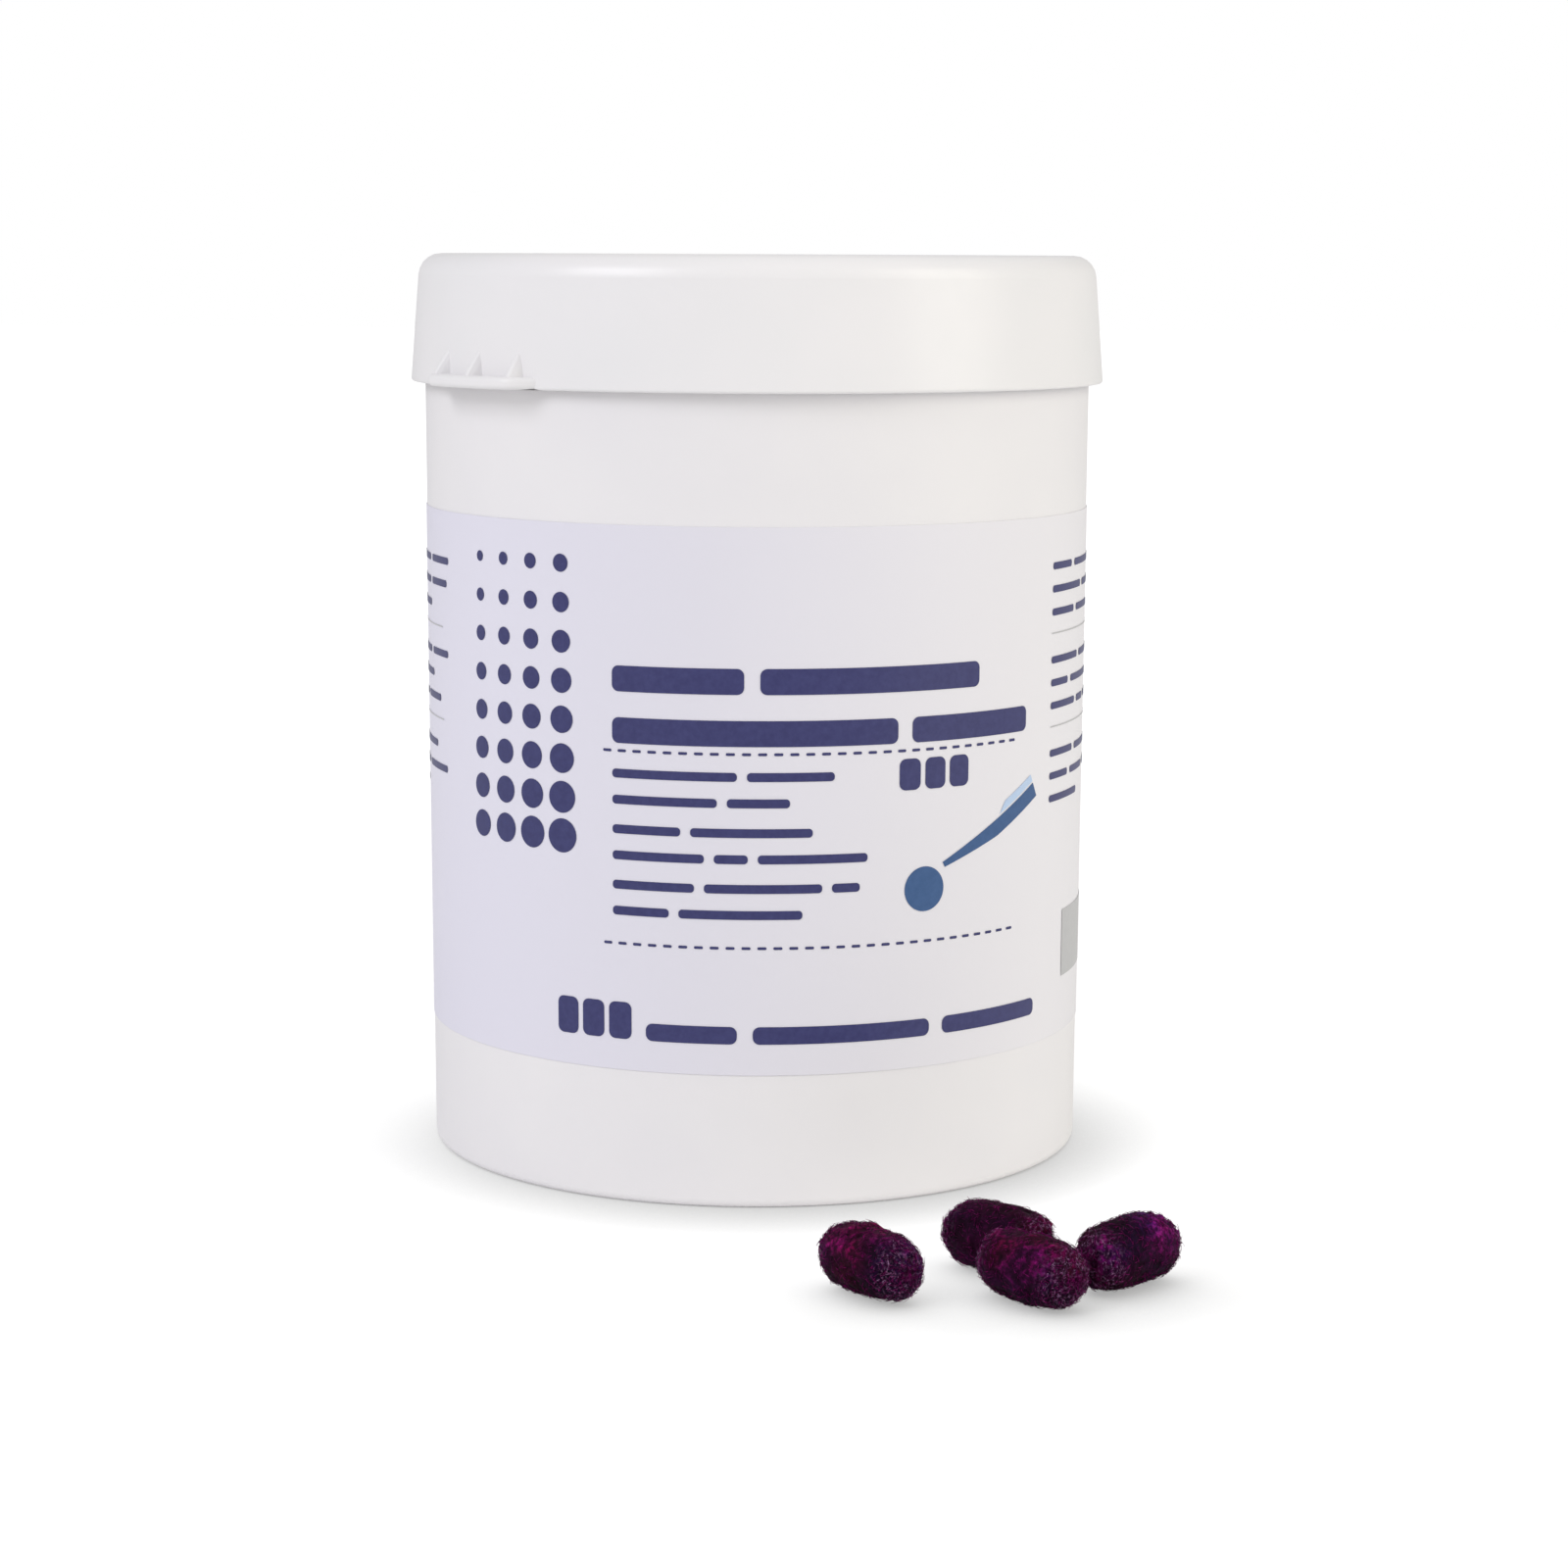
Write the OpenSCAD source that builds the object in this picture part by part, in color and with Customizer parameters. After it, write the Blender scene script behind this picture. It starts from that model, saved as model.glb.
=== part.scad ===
// Round plastic tub of soaked dental swabs with a press-on lid, a wrap-round label and four loose swabs.
// Millimetres, +Z up. The origin is on the tub's axis at the surface it stands on, and -Y is the front.

/* [Tub] */
// Outer radius of the tub at its foot
tub_foot_r = 35.1; // [33:0.1:42]
// Height of the tub from the floor to its rim
tub_h = 93.8; // [88:0.1:120]
// Growth of the wall's radius for each millimetre of height
tub_draft = 0.005; // [0:0.001:0.008]
// Thickness of the tub's wall at the foot
tub_wall = 1.5; // [1.3:0.05:2]
// Thickness of the tub's floor
tub_floor_t = 1.3; // [0.8:0.1:2.5]
// Radius of the tub's outer foot edge
foot_round = 0.8; // [0.5:0.1:2]
// Width of the ring that the tub stands on
foot_ring_w = 2.2; // [1:0.1:4]
// Depth of the recess under the tub's floor
foot_recess = 0.9; // [0.4:0.1:2]
// Radius of the inner corner between floor and wall
tub_inner_round = 2.4; // [1:0.1:4]
// Height of the neck's shoulder above the lid's lower edge
shoulder_cover = 1.2; // [0.8:0.1:2.5]
// Step from the wall in to the neck
neck_step = 0.5; // [0.4:0.05:0.7]
// Radius of the rim bead's section
rim_bead_r = 0.5; // [0.3:0.05:0.8]
// How far the rim bead stands out from the neck
rim_bead_proud = 0.15; // [0.05:0.01:0.16]
// Distance of the rim bead below the rim
rim_bead_drop = 2; // [1.5:0.1:3]
// Chamfer of the rim's two edges
rim_chamfer = 0.25; // [0.1:0.05:0.3]
// Radius of the gate mark under the floor
gate_r = 2; // [1:0.1:4]
// Height of the gate mark
gate_h = 0.4; // [0.2:0.05:0.4]

/* [Lid] */
// Overhang of the lid's lower edge over the tub's wall
lid_overhang = 1.5; // [1.5:0.05:2.5]
// Height of the lid from its lower edge to its top
lid_h = 13.4; // [12:0.1:18]
// How far the skirt leans in from its lower edge to the top
lid_lean = 1.05; // [0.6:0.05:1.05]
// Thickness of the lid's skirt
skirt_t = 0.9; // [0.6:0.05:0.9]
// Thickness of the lid's top plate
lid_plate_t = 1.4; // [1:0.1:2]
// Radius of the lid's rounded top edge
lid_round = 2.4; // [1.4:0.1:2.4]
// Radius of the inner corner above the skirt
lid_inner_round = 0.6; // [0.3:0.1:0.8]
// Width of the raised border round the lid's sunk top
lid_border_w = 3.2; // [3:0.1:6]
// Depth of the lid's sunk top
lid_sink = 0.6; // [0.3:0.1:1]
// Slope width of the sunk top's edge
lid_sink_slope = 0.5; // [0.2:0.1:1]
// Depth of the plug ring below the lid's plate
plug_depth = 4.6; // [3:0.1:7]
// Thickness of the plug ring
plug_t = 0.9; // [0.7:0.1:1.4]
// How far the plug ring leans in at its lower edge
plug_lean = 0.35; // [0.2:0.05:0.6]
// Radius of the locking bead's section
lock_bead_r = 0.45; // [0.35:0.05:0.6]
// Distance of the locking bead below the rim bead
lock_bead_drop = 1.7; // [1.4:0.1:2.4]
// Gap between the tub's rim and the lid's plate
seat_gap = 0.3; // [0.2:0.05:0.6]
// Gap between the plug ring and the tub's inner wall
plug_gap = 0.3; // [0.2:0.05:0.6]
// Gap between the locking bead and the rim bead as the lid lifts off
bead_gap = 0.12; // [0.1:0.01:0.16]

/* [Lift tab] */
// Direction of the lift tab, in degrees from the front, to the left
tab_turn = 50; // [0:1:90]
// How far the tab stands out from the lid's lower edge
tab_reach = 2; // [1:0.1:3.5]
// Thickness of the tab
tab_t = 1.25; // [0.8:0.05:2]
// Width of the tab at the skirt
tab_root_w = 19; // [16:0.5:26]
// Width of the tab at its outer edge
tab_tip_w = 12; // [11.5:0.5:16]
// Number of ribs above the tab
tab_ribs = 3; // [2:1:4]
// Distance between two ribs
tab_rib_pitch = 6.1; // [4:0.1:6.4]
// Thickness of a rib
tab_rib_t = 0.8; // [0.5:0.1:1.4]
// Height of a rib above the tab
tab_rib_h = 2.9; // [1:0.1:4]
// Reach of a rib along the tab
tab_rib_reach = 1.6; // [0.8:0.1:2]

/* [Label] */
// Height of the label's lower edge
label_z = 13.8; // [8:0.1:18]
// Height of the label
label_h = 55.2; // [50:0.1:60]
// Thickness of the label
label_t = 0.12; // [0.08:0.01:0.3]
// Glue line between the tub and the label
glue_t = 0.02; // [0.01:0.01:0.05]
// Angle left bare between the label's two ends, at the back
label_seam = 7; // [2:1:30]

/* [Print] */
// Thickness of the printed marks
ink_t = 0.05; // [0.03:0.01:0.1]
// Space kept between the label's face and the marks
ink_gap = 0.01; // [0.005:0.005:0.02]
// Left edge of the front panel's lines, measured along the wall from the front
panel_x = -14.8; // [-18:0.1:-12]
// Height of the first heading's lower edge above the label's lower edge
heading_z = 38.6; // [34:0.1:40]
// Height of the heading bars
heading_h = 2.6; // [1.5:0.1:4]
// Distance between the two headings
heading_pitch = 5.2; // [5:0.1:6]
// Words of the two headings, as lengths along the wall
heading_words = [[13.6, 24], [29.4, 15.6]];
// Space between two words of a heading
heading_space = 1.6; // [0.8:0.1:3]
// Height of the small lines' bars
line_h = 0.9; // [0.6:0.05:1.4]
// Height of the first small line above the label's lower edge
line_z = 29.9; // [26:0.1:30]
// Step between a pair's two lines
line_step = 2.65; // [2:0.05:2.7]
// Step from one pair of lines to the next
line_pair_step = 5.65; // [5:0.05:5.8]
// Words of the three pairs of small lines, as lengths along the wall
line_words = [
    [[12.9, 8.8], [10.9, 6.3]],
    [[7.2, 12.3], [9.6, 3.4, 11.2]],
    [[8.6, 11.9, 2.9], [6, 12.5]]
];
// Space between two words of a small line
line_space = 1; // [0.5:0.1:2]
// Left edge of the small count marks
count_x = 14.8; // [13:0.1:16]
// Height of the small count marks above the label's lower edge
count_z = 28.6; // [26:0.1:28.8]
// Width and height of one small count mark
count_size = [2.4, 3.2];
// Space between two count marks
count_space = 0.55; // [0.3:0.05:1]
// Left edge of the large count marks
total_x = -21.4; // [-23:0.1:-20]
// Height of the bottom line above the label's lower edge
total_z = 3.2; // [2:0.1:5]
// Width and height of one large count mark
total_size = [2.5, 3.8];
// Words after the large count marks
total_words = [9.4, 18.8, 14];
// Height of the bottom line's word bars
total_word_h = 1.8; // [1:0.1:3]
// Length of one dash of a dashed rule
dash = 0.9; // [0.5:0.05:1.2]
// Distance between two dashes
dash_pitch = 1.6; // [1.4:0.05:2.5]
// Length of the dashed rules
rule_l = 47; // [40:0.5:50]
// Heights of the two dashed rules above the label's lower edge
rule_z = [32.5, 12.9];
// Thickness of the dashed rules
rule_t = 0.28; // [0.2:0.02:0.6]
// Columns of the dot field
dot_columns = 4; // [2:1:5]
// Rows of the dot field
dot_rows = 8; // [3:1:8]
// Distance between two dots
dot_pitch = 3.95; // [3.6:0.05:4]
// Diameter of the largest dot
dot_d_max = 3.5; // [2:0.1:3.5]
// Diameter of the smallest dot
dot_d_min = 1.1; // [0.6:0.1:2]
// Place of the dot field's first column and row, along the wall and above the label's lower edge
dot_start = [-32.6, 23.5];
// Place of the pictured pellet's centre
pellet_at = [17.8, 18.4];
// Radius of the pictured pellet
pellet_r = 2.3; // [1:0.1:3]
// Place of the pictured stick's lower end
stick_at = [20.1, 20.7];
// Length of the pictured stick
stick_l = 15; // [10:0.5:16]
// Width of the pictured stick at its grip
stick_w = 2.6; // [1.6:0.1:3]
// Width of the pictured stick at its lower end
stick_tip_w = 0.6; // [0.3:0.1:0.8]
// Width of the pictured stick's gleam
gleam_w = 0.8; // [0.3:0.1:0.8]
// Space between the stick and its gleam
gleam_space = 0.2; // [0.1:0.05:0.3]
// Rise of the pictured stick in degrees
stick_rise = 27; // [10:1:30]
// Left edges of the two side panels
side_x = [36.9, -61.5];
// Words of a side panel's lines, group by group
side_words = [
    [[5.2, 8.4, 6], [9, 4.4, 5.6], [6.2, 7.5]],
    [[8, 5.4, 5.8], [4.6, 10], [7.2, 3.4, 6]],
    [[6.6, 9.4], [5, 6, 7.6], [8.8]]
];
// Height of a side panel's first line above the label's lower edge
side_z = 49.6; // [45:0.1:50]
// Step between two lines of a side panel
side_step = 2.4; // [2:0.05:2.5]
// Step from one group of a side panel to the next
side_group_step = 9.8; // [9:0.1:10.5]
// Height of a side panel's bars
side_h = 0.75; // [0.5:0.05:1.2]
// Height of a side panel's thin rules above the first line of the group below
side_rule_rise = 3.1; // [1.5:0.1:3.3]
// Length of a side panel's thin rules
side_rule_l = 19.6; // [10:0.1:22]
// Thickness of a side panel's thin rules
side_rule_t = 0.14; // [0.1:0.02:0.4]
// Grey field on the right side panel, as its place and size
grey_at = [41.2, 6];
grey_size = [14, 7.2];

/* [Swabs] */
// Length of a swab
swab_l = 11.5; // [9:0.1:12.5]
// Diameter of a swab
swab_d = 6.7; // [5:0.1:7.2]
// Radius of a swab's soft edge
swab_round = 2.9; // [1.5:0.1:3.1]
// Depth of the flat that a loose swab rests on
swab_sag = 0.15; // [0.05:0.01:0.4]
// Places and turns of the loose swabs on the floor
loose_swabs = [[10.8, -65.3, -52], [23.2, -57.1, -39], [25.6, -67.7, -48], [35, -61.8, 44]];

/* [Packed swabs] */
// Full layers under the loose top layer
full_layers = 8; // [1:1:8]
// Space between two layers
layer_space = 0.25; // [0.2:0.05:0.6]
// Space between the outermost swabs and the tub's wall
swab_wall_space = 0.4; // [0.3:0.1:1]
// Rings of a full layer, counted from the wall to the swab in the middle
layer_rings = 4; // [2:1:4]
// Space between two rings
ring_space = 1.45; // [1:0.05:1.6]
// Space between the ends of two swabs in a ring
end_space = 1; // [0.5:0.05:1.5]
// Largest turn of a swab out of its ring
ring_wobble = 6; // [0:1:7]
// Distance between the centres of two swabs in the top layer
top_pitch = 12.9; // [12.8:0.1:13.1]
// Largest tilt of a swab in the top layer
top_tilt = 9; // [0:1:10]
// Places, turns, tilts and settled depths of the swabs that lie on the top layer
crown_swabs = [[-9, 6, 25, 6, 0.55], [11.5, 9.5, 140, 4, 0.65], [2.5, -13.5, 80, 5, 0.6]];

/* [Hidden] */
$fn = 96;
over = 1;
corner_reach = 3;
places_across = 2;
golden = 0.6180339887;
layer_seed = 7;
ring_seed = 17;
swab_seed = 31;
tilt_seed = [5, 2];
turn_seed = [2, 4];

plastic = [0.93, 0.92, 0.94];
paper_white = [0.89, 0.88, 0.93];
navy = [0.18, 0.18, 0.39];
blue = [0.18, 0.33, 0.53];
pale_blue = [0.71, 0.80, 0.91];
grey = [0.73, 0.73, 0.73];
dark_purple = [0.27, 0.04, 0.22];

lid_top_z = tub_h + seat_gap + lid_plate_t;
lid_low_z = lid_top_z - lid_h;
lid_low_r = wall_r(lid_low_z) + lid_overhang;
shoulder_z = lid_low_z + shoulder_cover;
plate_z = tub_h + seat_gap;
rim_bead_z = tub_h - rim_bead_drop;
rim_bead_out = neck_r(rim_bead_z) + rim_bead_proud;
lock_bead_z = rim_bead_z - lock_bead_drop;
lean_angle = atan(lid_lean / lid_h);
draft_angle = atan(tub_draft);
floor_z = foot_recess + tub_floor_t;

swab_r = swab_d / 2;
layer_pitch = swab_d + layer_space;
first_layer_z = floor_z + layer_space + swab_r;
top_layer_z = first_layer_z + full_layers * layer_pitch;
crown_z = top_layer_z + layer_pitch;

function wall_r(z) = tub_foot_r + tub_draft * z;
function inner_r(z) = wall_r(z) - tub_wall;
function neck_r(z) = wall_r(z) - neck_step;
function skirt_r(z) = lid_low_r - lid_lean * (z - lid_low_z) / lid_h;
function face_r(z) = wall_r(z) + glue_t + label_t;
function turn_of(x) = x / face_r(label_z + label_h / 2) * 180 / PI;
function dir(a) = [cos(a), sin(a)];
// An even spread from -1 to 1 that never repeats, for places that look left to chance
function scatter(i) = 2 * (i * golden - floor(i * golden)) - 1;
function sum_to(list, n) = n <= 0 ? 0 : list[n - 1] + sum_to(list, n - 1);
// How much a tilted swab's centre rises so that its lower end stays where it was
function tilt_rise(tilt) = (swab_l / 2 - swab_round) * sin(abs(tilt));

// What is cut off a corner to round it: the wedge between two directions, outside the circle
module corner_off(centre, r, from, to) {
    difference() {
        polygon([
            centre,
            centre + corner_reach * r * dir(from),
            centre + (corner_reach + 1) * r * dir((from + to) / 2),
            centre + corner_reach * r * dir(to)
        ]);
        translate(centre) circle(r);
    }
}

// Tub

module tub_outside() {
    foot = [wall_r(foot_round) - foot_round / cos(draft_angle), foot_round];
    difference() {
        polygon([
            [0, 0],
            [wall_r(0), 0],
            [wall_r(shoulder_z), shoulder_z],
            [neck_r(shoulder_z), shoulder_z],
            [neck_r(tub_h - rim_chamfer), tub_h - rim_chamfer],
            [neck_r(tub_h) - rim_chamfer, tub_h],
            [0, tub_h]
        ]);
        corner_off(foot, foot_round, -draft_angle, -90);
    }
    translate([rim_bead_out - rim_bead_r, rim_bead_z]) circle(rim_bead_r);
}

module tub_inside() {
    corner_z = floor_z + tub_inner_round;
    corner = [inner_r(corner_z) - tub_inner_round / cos(draft_angle), corner_z];
    difference() {
        polygon([
            [0, floor_z],
            [inner_r(floor_z), floor_z],
            [inner_r(tub_h - rim_chamfer), tub_h - rim_chamfer],
            [inner_r(tub_h) + rim_chamfer, tub_h],
            [inner_r(tub_h) + rim_chamfer, tub_h + over],
            [0, tub_h + over]
        ]);
        corner_off(corner, tub_inner_round, -draft_angle, -90);
    }
}

module tub_underside() {
    recess_r = wall_r(0) - foot_round - foot_ring_w;
    polygon([
        [0, foot_recess - gate_h],
        [gate_r, foot_recess - gate_h],
        [gate_r + gate_h, foot_recess],
        [recess_r - foot_recess, foot_recess],
        [recess_r, 0],
        [recess_r, -over],
        [0, -over]
    ]);
}

module tub() {
    color(plastic)
    rotate_extrude() {
        difference() {
            tub_outside();
            tub_inside();
            tub_underside();
        }
    }
}

// Lid

module lid_outside() {
    round_z = lid_top_z - lid_round;
    edge = [skirt_r(round_z) - lid_round / cos(lean_angle), round_z];
    difference() {
        polygon([
            [0, lid_low_z],
            [lid_low_r, lid_low_z],
            [skirt_r(lid_top_z), lid_top_z],
            [0, lid_top_z]
        ]);
        corner_off(edge, lid_round, lean_angle, 90);
    }
}

module lid_inside() {
    round_z = plate_z - lid_inner_round;
    edge = [skirt_r(round_z) - skirt_t - lid_inner_round / cos(lean_angle), round_z];
    difference() {
        polygon([
            [0, lid_low_z - over],
            [skirt_r(lid_low_z - over) - skirt_t, lid_low_z - over],
            [skirt_r(plate_z) - skirt_t, plate_z],
            [0, plate_z]
        ]);
        corner_off(edge, lid_inner_round, lean_angle, 90);
    }
}

module lid_sunk_top() {
    sink_r = skirt_r(lid_top_z) - lid_border_w;
    sink_z = lid_top_z - lid_sink;
    polygon([
        [0, sink_z],
        [sink_r - lid_sink_slope, sink_z],
        [sink_r, lid_top_z],
        [sink_r, lid_top_z + over],
        [0, lid_top_z + over]
    ]);
}

module lid_plug() {
    plug_r = inner_r(tub_h - plug_depth) - plug_gap;
    low_z = plate_z - plug_depth;
    polygon([
        [0, plate_z + lid_plate_t / 2],
        [plug_r, plate_z + lid_plate_t / 2],
        [plug_r, low_z + plug_lean * 2],
        [plug_r - plug_lean, low_z],
        [plug_r - plug_t, low_z],
        [plug_r - plug_t, plate_z - lid_sink],
        [0, plate_z - lid_sink]
    ]);
}

module lid_lock_bead() {
    translate([rim_bead_out + bead_gap + lock_bead_r, lock_bead_z]) circle(lock_bead_r);
}

module lift_tab() {
    tip_r = lid_low_r + tab_reach;
    root_r = lid_low_r - skirt_t / 2;
    linear_extrude(tab_t)
    intersection() {
        polygon([
            [root_r - over * 2, tab_root_w / 2],
            [tip_r + over, tab_tip_w / 2],
            [tip_r + over, -tab_tip_w / 2],
            [root_r - over * 2, -tab_root_w / 2]
        ]);
        difference() {
            circle(tip_r);
            circle(root_r);
        }
    }
    for (i = [0 : tab_ribs - 1])
        rotate([0, 0, (i - (tab_ribs - 1) / 2) * tab_rib_pitch / lid_low_r * 180 / PI])
        rotate([90, 0, 0])
        linear_extrude(tab_rib_t, center = true)
        polygon([
            [root_r, tab_t / 2],
            [lid_low_r + tab_rib_reach, tab_t / 2],
            [lid_low_r + tab_rib_reach, tab_t],
            [skirt_r(lid_low_z + tab_t + tab_rib_h), tab_t + tab_rib_h],
            [root_r, tab_t + tab_rib_h]
        ]);
}

module lid() {
    color(plastic) {
        rotate_extrude() {
            difference() {
                union() {
                    difference() {
                        lid_outside();
                        lid_inside();
                    }
                    lid_plug();
                    intersection() {
                        lid_lock_bead();
                        lid_outside();
                    }
                }
                lid_sunk_top();
            }
        }
        rotate([0, 0, -90 - tab_turn]) translate([0, 0, lid_low_z]) lift_tab();
    }
}

// Label and its print

module label() {
    top_z = label_z + label_h;
    color(paper_white)
    rotate([0, 0, 90 + label_seam / 2])
    rotate_extrude(angle = 360 - label_seam)
    polygon([
        [wall_r(label_z) + glue_t, label_z],
        [face_r(label_z), label_z],
        [face_r(top_z), top_z],
        [wall_r(top_z) + glue_t, top_z]
    ]);
}

// A printed bar: x runs along the wall from the front, z up from the label's lower edge
module bar(x, z, w, h) {
    low = label_z + z;
    high = low + h;
    rotate([0, 0, turn_of(x) - 90])
    rotate_extrude(angle = turn_of(w))
    polygon([
        [face_r(low) + ink_gap, low],
        [face_r(low) + ink_gap + ink_t, low],
        [face_r(high) + ink_gap + ink_t, high],
        [face_r(high) + ink_gap, high]
    ]);
}

// A flat drawing pressed on the label's face round the point x, z
module stamp(x, z, reach) {
    low = label_z + z - reach;
    high = label_z + z + reach;
    intersection() {
        rotate([0, 0, turn_of(x - reach) - 90])
        rotate_extrude(angle = turn_of(2 * reach))
        polygon([
            [face_r(low) + ink_gap, low],
            [face_r(low) + ink_gap + ink_t, low],
            [face_r(high) + ink_gap + ink_t, high],
            [face_r(high) + ink_gap, high]
        ]);
        rotate([0, 0, turn_of(x)])
        translate([0, 0, label_z + z])
        rotate([90, 0, 0])
        linear_extrude(face_r(high) + over)
        children();
    }
}

module words(x, z, h, lengths, space) {
    for (i = [0 : len(lengths) - 1])
        bar(x + sum_to(lengths, i) + i * space, z, lengths[i], h);
}

module count_marks(x, z, size) {
    for (i = [0 : 2])
        bar(x + i * (size[0] + count_space), z, size[0], size[1]);
}

module dashed_rule(z) {
    for (i = [0 : floor((rule_l - dash) / dash_pitch)])
        bar(panel_x - line_space + i * dash_pitch, z, dash, rule_t);
}

module dot_field() {
    steps = dot_columns + dot_rows - 2;
    for (i = [0 : dot_columns - 1])
        for (j = [0 : dot_rows - 1])
            stamp(dot_start[0] + i * dot_pitch, dot_start[1] + j * dot_pitch, dot_pitch / 2)
            circle(d = dot_d_min + (dot_d_max - dot_d_min) * (i + dot_rows - 1 - j) / steps);
}

module side_panel(x) {
    for (g = [0 : len(side_words) - 1])
        for (i = [0 : len(side_words[g]) - 1])
            words(
                x,
                side_z - g * side_group_step - i * side_step,
                side_h,
                side_words[g][i],
                line_space
            );
}

module print_navy() {
    color(navy) {
        for (i = [0 : 1])
            words(panel_x, heading_z - i * heading_pitch, heading_h, heading_words[i], heading_space);
        for (pair = [0 : 2])
            for (i = [0 : 1])
                words(
                    panel_x,
                    line_z - pair * line_pair_step - i * line_step,
                    line_h,
                    line_words[pair][i],
                    line_space
                );
        count_marks(count_x, count_z, count_size);
        count_marks(total_x, total_z, total_size);
        words(
            total_x + 3 * (total_size[0] + count_space) + line_space,
            total_z,
            total_word_h,
            total_words,
            heading_space
        );
        for (z = rule_z) dashed_rule(z);
        dot_field();
        for (x = side_x) side_panel(x);
    }
}

// Puts a drawing at the middle of the pictured stick, which then lies along X
module on_stick() {
    middle = stick_at + stick_l / 2 * dir(stick_rise);
    stamp(middle[0], middle[1], stick_l / 2 * cos(stick_rise) + stick_w)
    rotate(stick_rise)
    children();
}

module print_blue() {
    top = stick_w / 2 - gleam_w - gleam_space;
    color(blue) {
        stamp(pellet_at[0], pellet_at[1], pellet_r + over) circle(pellet_r);
        on_stick()
        polygon([
            [-stick_l / 2, -stick_tip_w / 2],
            [0, -stick_w / 2],
            [stick_l / 2, -stick_w / 2],
            [stick_l / 2, top],
            [0, top],
            [-stick_l / 2, stick_tip_w / 2]
        ]);
    }
}

module print_pale_blue() {
    color(pale_blue)
    on_stick()
    polygon([
        [stick_w / 2, stick_w / 2 - gleam_w],
        [stick_l / 2, stick_w / 2 - gleam_w],
        [stick_l / 2, stick_w / 2],
        [stick_w, stick_w / 2]
    ]);
}

module print_grey() {
    color(grey) {
        bar(grey_at[0], grey_at[1], grey_size[0], grey_size[1]);
        for (x = side_x)
            for (g = [1 : 2])
                bar(x, side_z - g * side_group_step + side_rule_rise, side_rule_l, side_rule_t);
    }
}

// Swabs

// One swab, lying along X with its centre at the origin
module swab() {
    rotate([0, 90, 0])
    rotate_extrude() {
        difference() {
            translate([0, -swab_l / 2]) square([swab_r, swab_l]);
            corner_off([swab_r - swab_round, swab_l / 2 - swab_round], swab_round, 0, 90);
            corner_off([swab_r - swab_round, swab_round - swab_l / 2], swab_round, 0, -90);
        }
    }
}

module loose_swab(i) {
    color(dark_purple)
    difference() {
        translate([loose_swabs[i][0], loose_swabs[i][1], swab_r - swab_sag])
        rotate([0, 0, loose_swabs[i][2]])
        swab();
        translate([loose_swabs[i][0] - swab_l, loose_swabs[i][1] - swab_l, -swab_l])
        cube([2 * swab_l, 2 * swab_l, swab_l]);
    }
}

// Radius of a ring of swabs, so that the outermost ones clear the wall
function ring_r(ring) =
    sqrt(
        pow(inner_r(floor_z + tub_inner_round) - swab_wall_space - swab_round, 2)
        - pow(swab_l / 2 - swab_round + swab_r * sin(ring_wobble), 2)
    )
    - swab_r + swab_round - ring * (swab_d + ring_space);

// As many swabs as fit end to end in a ring, and one alone in the middle
function ring_count(ring) =
    ring == layer_rings - 1 ? 1 : floor(180 / atan((swab_l + end_space) / 2 / (ring_r(ring) - swab_r)));

module packed_layer(layer) {
    color(dark_purple)
    translate([0, 0, first_layer_z + (layer - 1) * layer_pitch])
    for (ring = [0 : layer_rings - 1])
        for (i = [0 : ring_count(ring) - 1])
            rotate([0, 0, 360 * (i + scatter(layer * layer_seed + ring)) / ring_count(ring)])
            translate([ring_count(ring) > 1 ? ring_r(ring) : 0, 0, 0])
            rotate([0, 0, 90 + ring_wobble * scatter(layer * swab_seed + ring * ring_seed + i)])
            swab();
}

// Places of the top layer: a triangular grid of 19, each with room to point any way
function top_places() = [
    for (i = [-places_across : places_across])
        for (j = [-places_across : places_across])
            if (abs(i + j) <= places_across) [top_pitch * (i + j / 2), top_pitch * j * sin(60)]
];

module packed_top_layer() {
    places = top_places();
    color(dark_purple)
    for (i = [0 : len(places) - 1]) {
        tilt = top_tilt * scatter(i * tilt_seed[0] + tilt_seed[1]);
        translate([places[i][0], places[i][1], top_layer_z + tilt_rise(tilt)])
        rotate([0, tilt, 180 * scatter(i * turn_seed[0] + turn_seed[1])])
        swab();
    }
}

module packed_crown() {
    color(dark_purple)
    for (s = crown_swabs)
        translate([s[0], s[1], crown_z + tilt_rise(s[3]) + tilt_rise(top_tilt) - s[4]])
        rotate([0, s[3], s[2]])
        swab();
}

tub();
lid();
label();
print_navy();
print_blue();
print_pale_blue();
print_grey();
loose_swab(0);  // loose_swab_1
loose_swab(1);  // loose_swab_2
loose_swab(2);  // loose_swab_3
loose_swab(3);  // loose_swab_4
packed_layer(1);  // packed_layer_1
packed_layer(2);  // packed_layer_2
packed_layer(3);  // packed_layer_3
packed_layer(4);  // packed_layer_4
packed_layer(5);  // packed_layer_5
packed_layer(6);  // packed_layer_6
packed_layer(7);  // packed_layer_7
packed_layer(8);  // packed_layer_8
packed_top_layer();
packed_crown();
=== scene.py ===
import math

import bpy
import numpy as np
from mathutils import Matrix


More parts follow.
